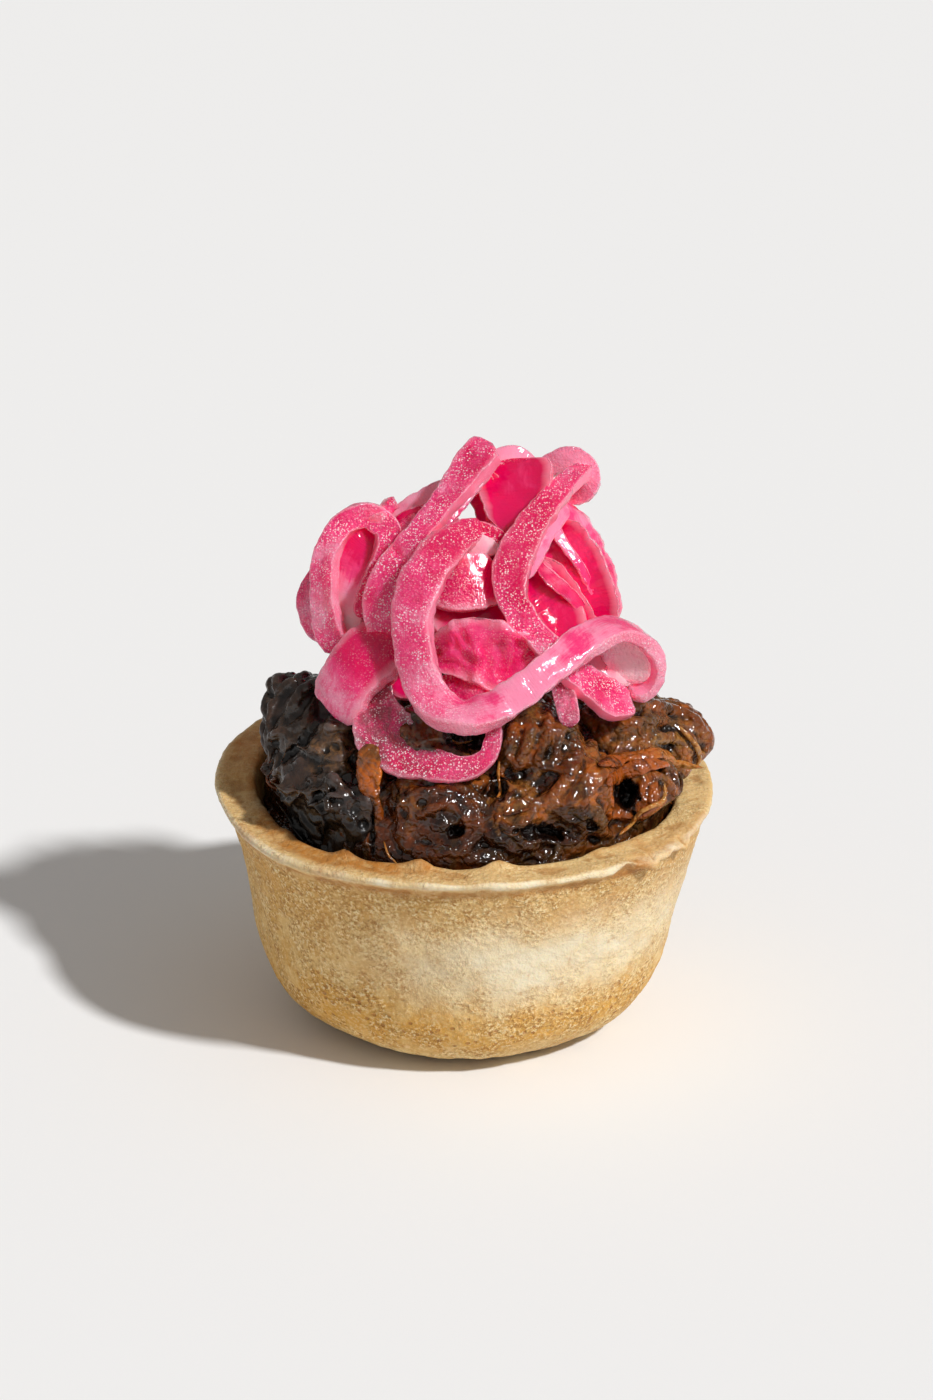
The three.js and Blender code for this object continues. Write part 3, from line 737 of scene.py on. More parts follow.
# round fibres of many sizes as one mesh
def makeFibres(name, fibres, roundness=2):
    curve = bpy.data.curves.new(name, "CURVE")
    curve.dimensions = "3D"
    curve.bevel_depth = mm
    curve.bevel_resolution = roundness
    curve.use_fill_caps = True
    for line, radius in fibres:
        places, run = smoothLine(line, 0.5)
        t = run / run[-1]
        taper = 0.35 + 0.65 * smoothStep(0, 0.2, np.minimum(t, 1 - t))
        spline = curve.splines.new("POLY")
        spline.points.add(len(places) - 1)
        spline.points.foreach_set("co", np.hstack([places * mm, np.ones((len(places), 1))]).ravel())
        spline.points.foreach_set("radius", radius * taper)
    piece = bpy.data.objects.new(name, curve)
    bpy.context.collection.objects.link(piece)
    pick(piece)
    bpy.ops.object.convert(target="MESH")
    return bpy.context.object


# for each place of the fibres, the number of its fibre
def ownersOf(fibres):
    return [n for n, (line, _) in enumerate(fibres) for _ in line]


# amber and tan of the nearest fibre, which fade out within the reach
def paintTone(piece, fibres, tones, reach):
    finder = makeFinder([place for line, _ in fibres for place in line])
    owners = ownersOf(fibres)
    values = np.zeros((len(piece.data.vertices), 2))
    for n, point in enumerate(getPoints(piece)):
        _, index, distance = finder.find(point)
        values[n] = tones[owners[index]] * max(0.0, 1 - distance / reach)
    paint(piece, amber=values[:, 0], tan=values[:, 1])


def paintFilling(piece, fibres, tones, dark):
    paintTone(piece, fibres, tones, 1.6)
    # painted shade: wide hollows are darkened, and so are the places the dark values mark
    paint(piece, -1, hollow=hollowness(piece, 7) / 0.16, deep=np.maximum(hollowness(piece, 60) / 0.65, dark))


# the filling stays behind the rim where it comes over the edge
def keepInRim(piece, edge, heights):
    points = getPoints(piece)
    radius = np.hypot(points[:, 0], points[:, 1])
    limit = edge + np.interp(points[:, 2], heights, [0, 0, 1.8, 6])
    over = np.maximum(0, radius - limit + 0.5)
    points[:, :2] *= (1 - (over - 0.5 * (1 - np.exp(-over / 0.5))) / np.maximum(radius, 1))[:, None]
    setPoints(piece, points)


def buildFilling(name, spec, lines):
    pieces = makeLumps(spec["lumps"])
    if "outline" in spec:
        pieces.append(turnOutline(name + "Heap", spec["outline"], 72))
    body = joinPieces(pieces, name)
    remesh(body, bodyVoxel)
    shapeBy(body, "SMOOTH", factor=0.5, iterations=4)
    if "inside" in spec:
        keepInRim(body, *spec["inside"])
    roughen(body, 3.0, 1.0)
    tree = surfaceTree(body)
    drawn = {"places": [], "ways": []}
    fibres, tones = [], []
    for line, radius, amber, tan in lines:
        dense, _ = smoothLine(layOnBody(tree, line, radius), 0.8)
        drawn["places"] += [Vector(place) for place in dense]
        drawn["ways"] += [Vector(way).normalized() for way in np.gradient(dense, axis=0)]
        fibres.append(([Vector(place) for place in dense], radius))
        tones.append(np.array([amber, tan]))
    drawn["finder"] = makeFinder(drawn["places"])
    owners = ownersOf(fibres)
    seeded = seedFibres(body, tree, drawn, spec["fibres"])
    rng = np.random.default_rng(spec["fibres"]["seed"] + 1)
    # a seeded fibre is a little like the drawn one next to it
    for line, _ in seeded:
        _, index, distance = drawn["finder"].find(line[len(line) // 2])
        near = math.exp(-distance / 2)
        own = np.array([rng.random() ** 3, 0.7 * rng.random() ** 4])
        tones.append(tones[owners[index]] * near + own * (1 - 0.75 * near))
    fibres += seeded
    skin = joinPieces([body, makeFibres(name + "Strands", fibres)], name)
    remesh(skin, spec["voxel"])
    for size, strength, kind in spec["relief"]:
        roughen(skin, size, strength, 1, kind)
    return skin, fibres, tones, drawn


# pits pressed in along the line of sight and darkened with painted shade: middle, half width, half height and
# depth
meatPits = [
    ([-1.3, -6.0], 0.95, 0.65, 1.3), ([-1.7, -5.5], 1.9, 1.4, 0.04), ([16.0, -2.2], 1.35, 1.75, 2.8),
    ([7.4, -6.0], 2.6, 0.8, 1.6), ([0.4, 3.4], 2.6, 1.3, 1.8), ([-9.4, -6.5], 0.3, 2.6, 0.5),
    ([12.4, -5.4], 0.6, 0.6, 1.0), ([3.2, -1.6], 0.9, 1.3, 1.2), ([6.2, -7.0], 7.5, 2.2, 0.05),
    ([10.4, -4.6], 2.4, 1.4, 0.15), ([9.6, 1.4], 2.2, 1.8, 0.0), ([-6.2, -8.6], 2.4, 1.0, 0.1),
]


def pressPits(piece, pits):
    points = getPoints(piece)
    near = nearOf(points.T)
    across, up = seenAt(points.T)
    wobble = 1 + 0.45 * (noiseAt(points, 0.9) + 0.5 * noiseAt(points, 2.3))
    dark = np.zeros(len(points))
    for middle, wide, high, depth in pits:
        reach = np.hypot((across - middle[0]) / wide, (up - middle[1]) / high) * wobble
        front = near[reach < 1.2].max()
        inside = smoothStep(front - 5, front - 3.5, near)
        points -= viewDirection([0, 0, 1])[None, :] * (depth * smoothStep(1.05, 0.5, reach) * inside)[:, None]
        # painted shade in and round each pit
        dark = np.maximum(dark, min(1, 0.4 + depth) * smoothStep(1.25, 0.75, reach) * inside)
    setPoints(piece, points)
    return dark


# only what can be seen is kept fine: the skin is cut level inside the shell and stands on a plain plug
def cutLevel(piece, height):
    editAll(piece)
    bpy.ops.mesh.bisect(plane_co=(0, 0, height * mm), plane_no=(0, 0, 1), use_fill=True, clear_inner=True)
    leaveEdit()


# a ribbon of meat with an oval section, lifted clear of the heap at its ends
def makeShred(tree, line, wide, thick, lift, amber, tan, near=None):
    places, run = smoothLine(layOnBody(tree, line, 0.5), 0.3)
    t = run / run[-1]
    outward = np.array([tree.find_nearest(Vector(place))[1] for place in places])
    for _ in range(12):
        outward[1:-1] = (outward[:-2] + outward[1:-1] + outward[2:]) / 3
    places = places + outward * (spread(lift, t)[:, None])
    if near is not None:
        places += viewDirection([0, 0, 1])[None, :] * (spread(near, t) - nearOf(places.T))[:, None]
    along = unit(np.gradient(places, axis=0))
    outward = squareTo(outward, along)
    side = np.cross(outward, along)
    closing = np.interp(ringOrder(len(places)), [0, 1, 2, 4], [0, 0.5, 0.8, 1])
    turns = np.linspace(0, 2 * math.pi, 14, endpoint=False)
    ripple = 1 + 0.07 * np.sin(run[:, None] * 2.3 + 2 * turns) + 0.05 * np.sin(run[:, None] * 5.1 - turns)
    u = np.cos(turns)[None, :] * (spread(wide, t) * closing)[:, None] * ripple
    v = np.sin(turns)[None, :] * (spread(thick, t) * closing)[:, None] * ripple
    piece, i, _ = sweepRings(ringsAround(places, (side, u), (outward, v)))
    paint(piece, amber=spread(amber, t)[i], tan=spread(tan, t)[i], hollow=0, deep=0)
    return piece


# line as the eye sees it, then values along it: half width, half thickness, lift, amber, tan and, where the
# ribbon isn't laid on the heap, how near it is
shredLines = [
    ([(13.2, 0.4), (15.6, 0.9), (18.4, 1.3), (20.8, 1.4), (23.2, 0.5)], [0.4, 0.9, 0.85, 0.65, 0.2],
     [0.3, 0.34, 0.3, 0.2], [0.2, 0.5, 0.7, 0.8, 0.6], [0.6, 0.7, 0.8, 0.9], [0, 0, 0.2, 0.7, 0.9]),
    ([(13.8, -1.0), (15.4, -0.2), (17.6, 0.5), (20.2, 0.7)], [0.5, 0.9, 0.8, 0.3], [0.35, 0.4, 0.3],
     [0.1, 0.3, 0.3], [0.55, 0.75], 0),
    ([(19.7, -0.8), (19.4, -2.5), (18.2, -3.6), (16.4, -4.9), (14.6, -6.4)], [0.2, 0.22, 0.16],
     [0.2, 0.22, 0.14],
     [0.1, 0.8, 0.5], 0.75, 1),
    ([(20.0, -1.4), (19.2, -3.0), (17.6, -4.0), (16.0, -5.3)], [0.14, 0.16, 0.1], [0.14, 0.16, 0.1],
     [0.2, 0.6, 0.4], 0.8, 1),
    ([(-9.8, 2.8), (-9.6, 1.3), (-9.8, -0.6), (-9.2, -2.6), (-8.3, -5.4)],
     [0.7, 1.15, 1.2, 1.05, 0.85, 0.55, 0.3],
     [0.3, 0.4, 0.3], 0, [0.8, 0.7, 0.8, 0.55, 0.3], [0.2, 0.1, 0], [17.9, 18.2, 17.7, 17.0, 16.4]),
    ([(-9.1, 1.2), (-8.8, -0.2), (-8.8, -1.8)], [0.3, 0.6, 0.3], [0.3, 0.35, 0.2],
     0, 0.9, 0.3, [18.1, 18.2, 17.9]),
    ([(21.0, 4.6), (22.5, 3.1), (23.2, 1.5), (22.6, 0.3)], [0.2, 0.3, 0.2], [0.2, 0.28, 0.2],
     [0.2, 0.3, 0.2], 0.5, 1),
]


def makeMeatMaterial(name, colours, look):
    material, tree, shader = newMaterial(name, {
        "Roughness": 0.3, "Subsurface Weight": 0.12, "Subsurface Radius": (1.0, 0.35, 0.12),
        "Subsurface Scale": 0.0007, "Specular IOR Level": look["shine"], "IOR": 1.45})
    place = addNode(tree, "ShaderNodeTexCoord").outputs["Object"]
    amber, tan, hollow, deep = readPaint(tree, "amber", "tan", "hollow", "deep")
    mottle = grain(tree, place, 2.4, 4, 0.6, 0.6)
    fine = grain(tree, place, 0.38, 1, 0.5)
    dome, _ = wetCells(tree, place, 0.55, 0.5)
    cluster = ramp(tree, grain(tree, place, 1.9, 1), 0.39, 0.5, 0.05)
    amber = product(tree, math2(tree, "POWER", amber, 1.7), ramp(tree, mottle, 0.34, 0.56, 0.15), clamp=True)
    # painted highlight: ridges are lighter, amber on the glazed meat and a grey sheen on the dark chunk
    ridge = product(tree, ramp(tree, hollow, -0.2, -1.0, 0.0, 0.5), ramp(tree, mottle, 0.4, 0.6, 0.1))
    # painted shade: creases and deep hollows take the near-black crease colour
    dark = ramp(tree, deep, 0.05, 0.7)
    colour = layOver(tree, {**colours, "deep": colours["creaseShade"]}, {
        "body": ramp(tree, mottle, 0.38, 0.62), "amber": amber,
        "tan": product(tree, tan, ramp(tree, fine, 0.35, 0.6, 0.4), clamp=True), "ridge": ridge,
        "creaseShade": ramp(tree, hollow, 0.1, 1.0, 0.0, 0.7), "deep": product(tree, dark, 0.92)})
    wet = ramp(tree, grain(tree, place, 2.2, 2), 0.35, 0.65, *look["rough"])
    normal = addBump(tree, grain(tree, place, 0.8, 0), look["beads"])
    normal = addBump(tree, product(tree, dome, cluster), look["domes"], 1.0, normal)
    connect(tree, shader, {"Base Color": colour, "Normal": addBump(tree, fine, look["fine"], 1.0, normal),
                           "Roughness": math2(tree, "MULTIPLY_ADD", dark, 0.1, wet, clamp=True)})
    return material


meatSkin, meatFibres, meatTones, meatFlow = buildFilling("pulledMeat", heapSpec, meatLines)
pitDark = pressPits(meatSkin, meatPits)
meatX, meatY, _ = getPoints(meatSkin).T
keepInRim(meatSkin, 20.9 - 2.8 * bell(np.arctan2(meatY, meatX), -2.66, 0.42), [22, 25, 26.5, 29])
meatTree = surfaceTree(meatSkin)
# painted shade where the heap goes down towards the rim
pitDark = np.maximum(pitDark, 0.45 * smoothStep(27.5, 24.5, getPoints(meatSkin)[:, 2]))
paintFilling(meatSkin, meatFibres, meatTones, pitDark)
threadFibres = seedFibres(meatSkin, meatTree, meatFlow, threadSpec)
cutLevel(meatSkin, heapSpec["cut"])
plug = turnOutline("meatPlug", heapSpec["plug"], 64)
paint(plug, amber=0, tan=0, hollow=0, deep=0)
threads = makeFibres("meatThreads", threadFibres, 1)
threadTones = np.random.default_rng(5).random((len(threadFibres), 2)) ** [1.5, 2.5]
paintTone(threads, threadFibres, threadTones, 50)
shreds = [makeShred(meatTree, *entry) for entry in shredLines]
meat = joinPieces([meatSkin, plug, threads] + shreds, "pulledMeat")
closeMesh(meat)
meatLook = {"shine": 0.68, "rough": (0.04, 0.13), "beads": 0.22, "domes": 0.2, "fine": 0.04}
meatColours = {"base": (0.012, 0.003, 0.0015), "body": (0.07, 0.014, 0.003), "amber": (0.6, 0.125, 0.004),
               "tan": (0.44, 0.2, 0.042), "ridge": (0.17, 0.042, 0.009), "creaseShade": (0.004, 0.001, 0.0006)}
glazed = makeMeatMaterial("glazedMeat", meatColours, meatLook)
finishPiece(meat, "pulled_meat", glazed)

chunkSkin, chunkFibres, chunkTones, _ = buildFilling("darkMeat", chunkSpec, chunkLines)
keepInRim(chunkSkin, 20.7, [22, 25, 29, 33])
# painted shade: the chunk is darker towards its lower part
paintFilling(chunkSkin, chunkFibres, chunkTones, 0.75 * smoothStep(30.5, 25, getPoints(chunkSkin)[:, 2]))
closeMesh(chunkSkin)
chunkLook = {"shine": 0.62, "rough": (0.15, 0.34), "beads": 0.13, "domes": 0.03, "fine": 0.05}
chunkColours = {"base": (0.011, 0.007, 0.006), "body": (0.042, 0.025, 0.02), "amber": (0.2, 0.06, 0.015),
                "tan": (0.2, 0.095, 0.032), "ridge": (0.15, 0.11, 0.105), "creaseShade": (0.0012, 0.001, 0.0011)}
charred = makeMeatMaterial("charredMeat", chunkColours, chunkLook)
finishPiece(chunkSkin, "dark_meat_chunk", charred)

# onion strips

print("pickled onion")
stripSpec = {"step": 0.375, "corner": 0.22, "slim": 0.74, "tangleCentre": [0, 13.5, 6]}
stripDefaults = {"thick": 1.4, "skin": 1, "thin": 0, "cup": 0, "hollow": 0.2, "crumple": 0.05}

# Path [across, up, near], width and thickness along it, and where its broad faces look. Tone: 1 is crimson,
# 0 pale pink, below 0 milky; on deep and shaded strips the crimson is painted shade. Skin: 0 where
# the broad faces are cut and glitter, 1 where they are smooth. Thin: how far the meat shows through, painted
# into the colour. Cup bends a sheet across its width, hollow thins its middle.
frontStrips = {
    "topArm": {"path": [[2.5, 32.9, 10], [0.4, 30.4, 11.4], [-1.7, 27.6, 13], [-3.8, 25, 14.2],
        [-5.6, 22.6, 14.8], [-6.8, 20, 14]],
        "width": [4.2, 3.8, 2.8, 2.6, 3], "thick": [1.9, 2.2], "face": [[-0.45, 0.2, 1], [-0.6, 0.1, 0.9]],
        "tone": [0.4, 0.42, 0.35, 0.45, 0.7], "skin": 0},
    "armSide": {"path": [[2.6, 30.8, 9.6], [0.7, 28.6, 11], [-1.1, 26.4, 12.2], [-2.6, 24.4, 13]],
        "width": [1.8, 1.5, 1.4], "thick": 1.2, "face": [0.3, 0.2, 1], "tone": [0.2, 0.1, 0.3]},
    "frontU": {"path": [[1.6, 24.6, 13.4], [-1, 23.3, 15.2], [-3.2, 21.2, 17], [-4.8, 18.4, 18],
        [-5.4, 15.6, 18.6], [-5.2, 12.4, 19], [-4.4, 9, 19.4], [-2.8, 6.5, 19.9], [-0.4, 5.5, 20.3],
        [2.6, 6.3, 20.4], [6, 8.5, 20], [9.4, 11.2, 18.8], [12.4, 13.4, 17], [15.3, 14.3, 14.8],
        [17.6, 13.2, 12.6], [18.5, 10.9, 10.8], [17.7, 8.9, 10], [15.8, 7.8, 10.4]],
        "width": [2.2, 3.8, 4.2, 4, 3.8, 3.4, 3.4, 3.2, 3.2, 3.4, 3.8, 3.6],
        "thick": [1.6, 1.9, 2.1, 2.2, 2.1, 1.8, 1.5], "face": [[-0.1, 0.3, 1], [-0.25, 0.1, 1],
        [-0.3, 0.1, 1], [-0.35, 0.5, 0.85], [0, 0.85, 0.6], [0.32, 0.28, 0.9], [0.33, 0.4, 0.85],
        [0.2, 0.8, 0.55], [0.85, 0.3, -0.4], [0.5, -0.4, -0.75]], "tone": [0.95, 0.85, 0.6, 0.35, 0.3, 0.25,
        0.25, 0, 0.1, 0.3, 0.3, 0, 0.15], "skin": [0, 0, 0, 0.2, 0.9, 1, 0.9, 0.9, 0.9], "hollow": -0.2},
    "leftInner": {"path": [[-3.4, 22.6, 13.6], [-6.4, 21, 14.6], [-7.9, 18.8, 15.3], [-8.4, 16.2, 15.4],
        [-7.6, 13.4, 14.4], [-5.6, 11.6, 13]],
        "width": [3.4, 3.9, 3.8, 3.6], "thick": 2.1, "face": [[-0.3, 0.3, 1], [-0.4, 0, 1]],
        "tone": [0.75, 0.6, 0.45, 0.7], "skin": 0},
    "middleS": {"path": [[12.2, 30.6, 7.4], [10.6, 29.4, 9.6], [8.8, 27.6, 11.6], [7, 25.4, 13.4],
        [5.4, 22.8, 15], [4.4, 20, 16.2], [4.5, 17.6, 16.8], [5.8, 15.2, 17.2], [8, 12.6, 17],
        [10.2, 10.4, 15.8], [12.4, 8.6, 14.2], [14.8, 7.2, 12.6], [16.6, 7, 11.2]],
        "width": [2, 2.2, 2.6, 3, 3.6, 3.4, 2.8, 2.6, 2.8, 3.4, 4, 3.6], "thick": [1.7, 1.8],
        "face": [[-0.4, 0.3, 0.9], [-0.3, 0.1, 1], [-0.3, -0.1, 1], [-0.1, 0.1, 1], [0.3, 0.6, 0.9],
        [0.3, 0.6, 0.9]], "tone": [0.45, 0.6, 0.9, 1, 0.85, 0.35, 0.25, 0.6, 0.45], "skin": 0},
    "paleRim": {"path": [[10.2, 26.8, 9.6], [8.6, 24.6, 12], [7.1, 21.7, 13.9], [6, 19.2, 14.8]],
        "width": [1.5, 1.4, 1.1], "thick": 1, "face": [0.6, 0.2, 0.8], "tone": 0},
    "leftLoop": {"path": [[-12.6, 12, 11.4], [-13.8, 14.6, 12.2], [-14.2, 18, 12.6], [-13.9, 22, 12.4],
        [-12.2, 24.9, 11.8], [-9.8, 25.7, 11.4], [-7.9, 24.2, 11.8], [-7.9, 21.8, 12.6], [-9.2, 18.4, 13],
        [-10.2, 15.2, 12.8]],
        "width": [3, 2.9, 2.6, 2.4, 2.5, 2.9, 3], "thick": 1.9, "face": [[-0.5, 0, 1], [-0.55, 0, 0.9],
        [-0.3, -0.3, 1], [0.1, -0.3, 1], [0.3, 0, 1], [-0.1, 0.1, 1]],
        "tone": [0.15, 0.2, 0.35, 0.3, 0.55, 0.7], "skin": 0.2},
    # its crimson upper end is painted shade
    "fatBend": {"path": [[-2.6, 14.8, 12.4], [-6, 14, 14.2], [-9.3, 12.3, 15.4], [-11.9, 9.6, 15.7],
        [-13.1, 7, 15], [-13.2, 5.5, 14.2]],
        "width": [5.4, 6.4, 6.6, 5.8, 5.2], "thick": [2.2, 2], "face": [[0, 0.5, 1], [-0.2, 0.4, 1],
        [-0.45, 0.2, 0.9]], "tone": [1, 1, 1, 0.8, 0.2, 0.05], "skin": 0.75, "cup": -0.7},
    "lowRing": {"path": [[-7, 10.6, 13.2], [-8.9, 8.9, 14.4], [-9.1, 6.4, 15.6], [-7.8, 3.4, 17],
        [-5.4, 1.5, 18], [-2.4, 0.5, 18.8], [0.4, 0.5, 19], [2, 1.5, 18.8], [2.7, 3.4, 18.2], [2.7, 6, 17]],
        "width": [2.2, 3, 4.4, 6.4, 5.4, 3.6, 2.6, 1.9, 1.7, 1.8], "thick": 1.2, "face": [[-0.3, 0.2, 1],
        [-0.25, 0.2, 1], [0, 0.2, 1]], "tone": [0.7, 0.5, 0.4, 0.6, 0.75, 0.7, 0.6, 0.35, 0.3], "skin": 0,
        "thin": [0.5, 0.8, 0.9, 0.8, 0.5, 0.35, 0.3, 0.35, 0.4]},
    "topCurl": {"path": [[7, 29.6, 5], [8.5, 30.7, 6], [10.3, 31.2, 6.8], [11.6, 30.5, 7.4], [12, 29.1, 7.2],
        [11.2, 28.1, 6.2], [10, 27.6, 5.2]],
        "width": [2.2, 2.8, 2.8, 2.4], "thick": 1.5, "face": [[0, 0.4, 1], [0.1, 0.2, 1]],
        "tone": [0.1, -0.3, 0.1], "skin": 0.7},
    "topFold": {"path": [[2.6, 31, 8.6], [4.8, 31.6, 8.2], [6.2, 30.6, 7.6], [8.2, 29.8, 7.2]],
        "width": [2.6, 2.6, 2.2], "thick": 1.2, "face": [0, 0.5, 0.9], "tone": [-0.4, -0.3, 0.1]},
    "topSheet": {"path": [[4.4, 31.4, 8.8], [4.8, 29.6, 9.6], [4.9, 27.6, 10.2], [4.6, 25.4, 11],
        [4.2, 23.2, 11.4]],
        "width": [8, 8.6, 7, 5.4, 3.6], "face": [-0.3, -0.15, 1], "tone": [1, 1, 1], "cup": 0.35},
    "topSheetSide": {"path": [[1.6, 30.4, 8.4], [1.9, 28.8, 8.8], [2.2, 27.2, 9.2]],
        "width": [4, 3.6, 2.2], "face": [-0.4, -0.1, 1], "tone": [0.85, 1]},
    "palePatch": {"path": [[-0.4, 23.2, 13], [1.4, 22.8, 13.4], [3.2, 22.9, 13]],
        "width": [2.2, 2.8, 2.4], "thick": 1, "face": [-0.3, 0.3, 1], "tone": -0.6},
    "backEdge": {"path": [[-10, 23.2, 6.6], [-7.2, 24.8, 7.4], [-3.8, 27, 8], [-0.6, 28.6, 8.6]],
        "width": [3, 3.2, 3], "face": [-0.2, 0.3, 1], "tone": [0, -0.4, -0.4]},
    "backEdgeDeep": {"path": [[-8.6, 23.6, 9], [-5.8, 24.9, 9.6], [-3.6, 26.2, 10]],
        "width": 2.6, "face": [-0.2, 0.2, 1], "tone": 1},
    "outerPetal": {"path": [[9.4, 27.4, 7.2], [11.4, 24.4, 8.2], [12.9, 21, 8.8], [13.8, 17.6, 8.6],
        [14.2, 14.4, 7.8]],
        "width": [4.4, 5.6, 6.2, 5.6], "thick": 1.2, "face": [0.8, -0.1, 0.6], "tone": [0.3, 0.5, 0.75],
        "cup": -0.5, "crumple": 0.25},
    "innerPetal": {"path": [[8, 25, 9.4], [9.8, 22.2, 10.6], [11.2, 19, 11], [11.9, 15.6, 10.6],
        [11.8, 12.4, 9.8]],
        "width": [4.6, 6.2, 6.4, 5.6], "thick": 1.2, "face": [0.1, -0.2, 1], "tone": [0.9, 0.8, 0.85, 1],
        "cup": 0.5, "crumple": 0.3},
    "petalEdge": {"path": [[7.4, 26.2, 10.6], [8.6, 24.6, 11.4], [10.2, 22.2, 11.8], [11.8, 19.8, 11.4],
        [13, 17.2, 10.6]],
        "width": [1, 1.2, 1, 0.8], "thick": 0.8, "face": [0.2, 0.3, 1], "tone": [0.1, 0.3, 0.2]},
    "petalLine": {"path": [[6.6, 21.4, 12.4], [8.4, 19.4, 13], [10.4, 17.8, 12.8], [12.2, 15.6, 11.8]],
        "width": [1.2, 1.4, 1], "thick": 0.7, "face": [0, -0.2, 1], "tone": [0.6, 0.3, 0.5]},
    "deepPetal": {"path": [[5.2, 20.4, 10.4], [7.8, 18, 11.6], [9.8, 15.2, 12], [11.4, 12.4, 11.2]],
        "width": [5, 5.8, 5.6], "thick": 1.8, "face": [0, 0.35, 1], "tone": [1, 0.85, 1], "cup": 0.5},
    "crumpled": {"path": [[-3, 11.8, 15], [0.4, 12.2, 16.4], [3.6, 11.8, 16.4], [6.8, 11, 15.2]],
        "width": [5.4, 6.4, 6.2, 5], "thick": 2.2, "face": [[-0.2, 0, 1], [-0.3, 0, 1], [-0.2, -0.1, 1]],
        "tone": [0.75, 0.45, 0.65], "skin": 0.8, "crumple": 0.75},
    "crimsonBack": {"path": [[-3.4, 14.8, 13.4], [0.6, 15.4, 14], [5.2, 14.8, 13]],
        "width": [4.2, 4.6, 4.4], "face": [0, 0.3, 1], "tone": [1, 1, 0.9]},
    "middleSheet": {"path": [[-3.4, 18.9, 15.2], [0.2, 19, 15.6], [3.8, 19.5, 14.2]],
        "width": [5.2, 5.6, 5.4], "thick": 1.6, "face": [0, 0.3, 1], "tone": [0.8, 0.95, 1, 1],
        "skin": [0.1, 0.6, 1, 1]},
    "smallEnd": {"path": [[9.3, 9.6, 14.6], [9.9, 7.2, 16], [10.3, 5.3, 16.6], [10.4, 4.4, 16.4]],
        "width": [2.4, 2.2, 2], "face": [0.1, 0.1, 1], "tone": [0.6, 0.1, 0.05], "skin": 0.5,
        "thin": [0.9, 0.8, 0.6]},
    "curlFill": {"path": [[12.2, 12.4, 11.6], [13.9, 11.2, 11.2], [15.6, 9.8, 10.8], [16.6, 8.6, 10.6]],
        "width": [3.4, 4, 4, 3], "thick": 1.2, "face": [0.1, 0.2, 1], "tone": [0.1, -0.4, -0.9, -1],
        "skin": 0.9},
    "underLump": {"path": [[-3, 9, 14.6], [0.6, 7.9, 16], [4, 8.6, 15.2]],
        "width": [2.4, 2.6, 2.4], "thick": 1.9, "face": [0, 0.2, 1], "tone": [0.9, 0.75], "skin": 0.5},
    # a crimson sheet that stands for the shade behind the fat bend
    "underBend": {"path": [[-7.2, 12.4, 12.2], [-6.2, 9.6, 13.2], [-4.8, 7.2, 13.4]],
        "width": [4.4, 4.6, 4], "thick": 2, "face": [0, 0.2, 1], "tone": 1},
    "farLeft": {"path": [[-11, 21.2, 7.6], [-14.4, 19.6, 7.6], [-15.6, 17.6, 7.8], [-15.4, 15.6, 8.4],
        [-13.6, 13.8, 9.2], [-10.6, 12.6, 10]],
        "width": [2.6, 2.8, 2.6], "thick": 1.8, "face": [-0.6, 0, 1], "tone": [0.4, 0.3, 0.5], "skin": 0.6},
    "throughLoop": {"path": [[-13.4, 13.6, 11], [-12, 17.8, 11.6], [-10.8, 21.4, 11.4], [-8.6, 24, 10.6]],
        "width": [4.6, 5.4, 4.6], "thick": 1.7, "face": [-0.3, -0.1, 1], "tone": [-0.8, -0.7, 0.1, 1, 1]},
    "loopInner": {"path": [[13, 12.4, 12.6], [15, 12, 12], [16.4, 10.6, 11.4], [16.4, 8.8, 10.8]],
        "width": [3, 4.2, 4.4, 3.6], "thick": 1.2, "face": [-0.2, -0.3, 1], "tone": [-0.2, -0.6, -0.9],
        "skin": 0.6},
    # crimson sheets behind the gaps, as painted shade deep in the tangle
    "gapAbove": {"path": [[1.2, 30.2, 8.2], [1.6, 28.2, 8.8], [1.9, 26.4, 9.6], [2, 24.2, 10.6]],
        "width": [3.8, 3.4, 2.2, 2.2], "face": [-0.3, 0, 1], "tone": 1},
    "gapBetween": {"path": [[1.4, 27.4, 9.2], [4.4, 26.6, 9.8], [6.2, 25.6, 10.4]],
        "width": [1.8, 2.4, 2.4], "face": [-0.3, 0, 1], "tone": 1},
    "gapUnder": {"path": [[0.4, 25, 12.6], [2, 24.1, 12.9], [3.8, 23.4, 12.4]],
        "width": [1.4, 1.6, 1.6], "face": [-0.3, 0, 1], "tone": 0.8, "skin": 0},
    "fillMiddle": {"path": [[-4, 21.4, 12.4], [-0.6, 17.6, 13.8], [2.6, 13.4, 14.2], [3.6, 9.6, 13.8]],
        "width": [6, 8, 8.5, 7], "thick": 2, "face": [0, 0.2, 1], "tone": 1},
    "fillRight": {"path": [[2.6, 20.8, 10.4], [6, 18.4, 11.4], [8.4, 14.2, 12.4], [8.6, 10.4, 12.4]],
        "width": [5, 7.4, 7], "thick": 2, "face": [0.2, 0.1, 1], "tone": 1},
    "fillLeft": {"path": [[-9.6, 22.6, 8.8], [-8, 18, 11], [-5.6, 13.4, 12.2], [-3, 9.6, 12.4]],
        "width": [5, 7.4, 7], "thick": 2, "face": [-0.2, 0.1, 1], "tone": 1},
    "fillTop": {"path": [[-5.4, 26, 8.6], [-2.6, 24, 10.2], [-1.2, 21.4, 11.4]],
        "width": [4, 4.4, 4], "thick": 1.8, "face": [-0.1, 0.2, 1], "tone": 0.95},
}
# two small gaps through which the photo shows the backdrop: nothing hidden may cross them
openings = [(0.2, 26.3, 1.5), (3.4, 24.8, 1.0)]


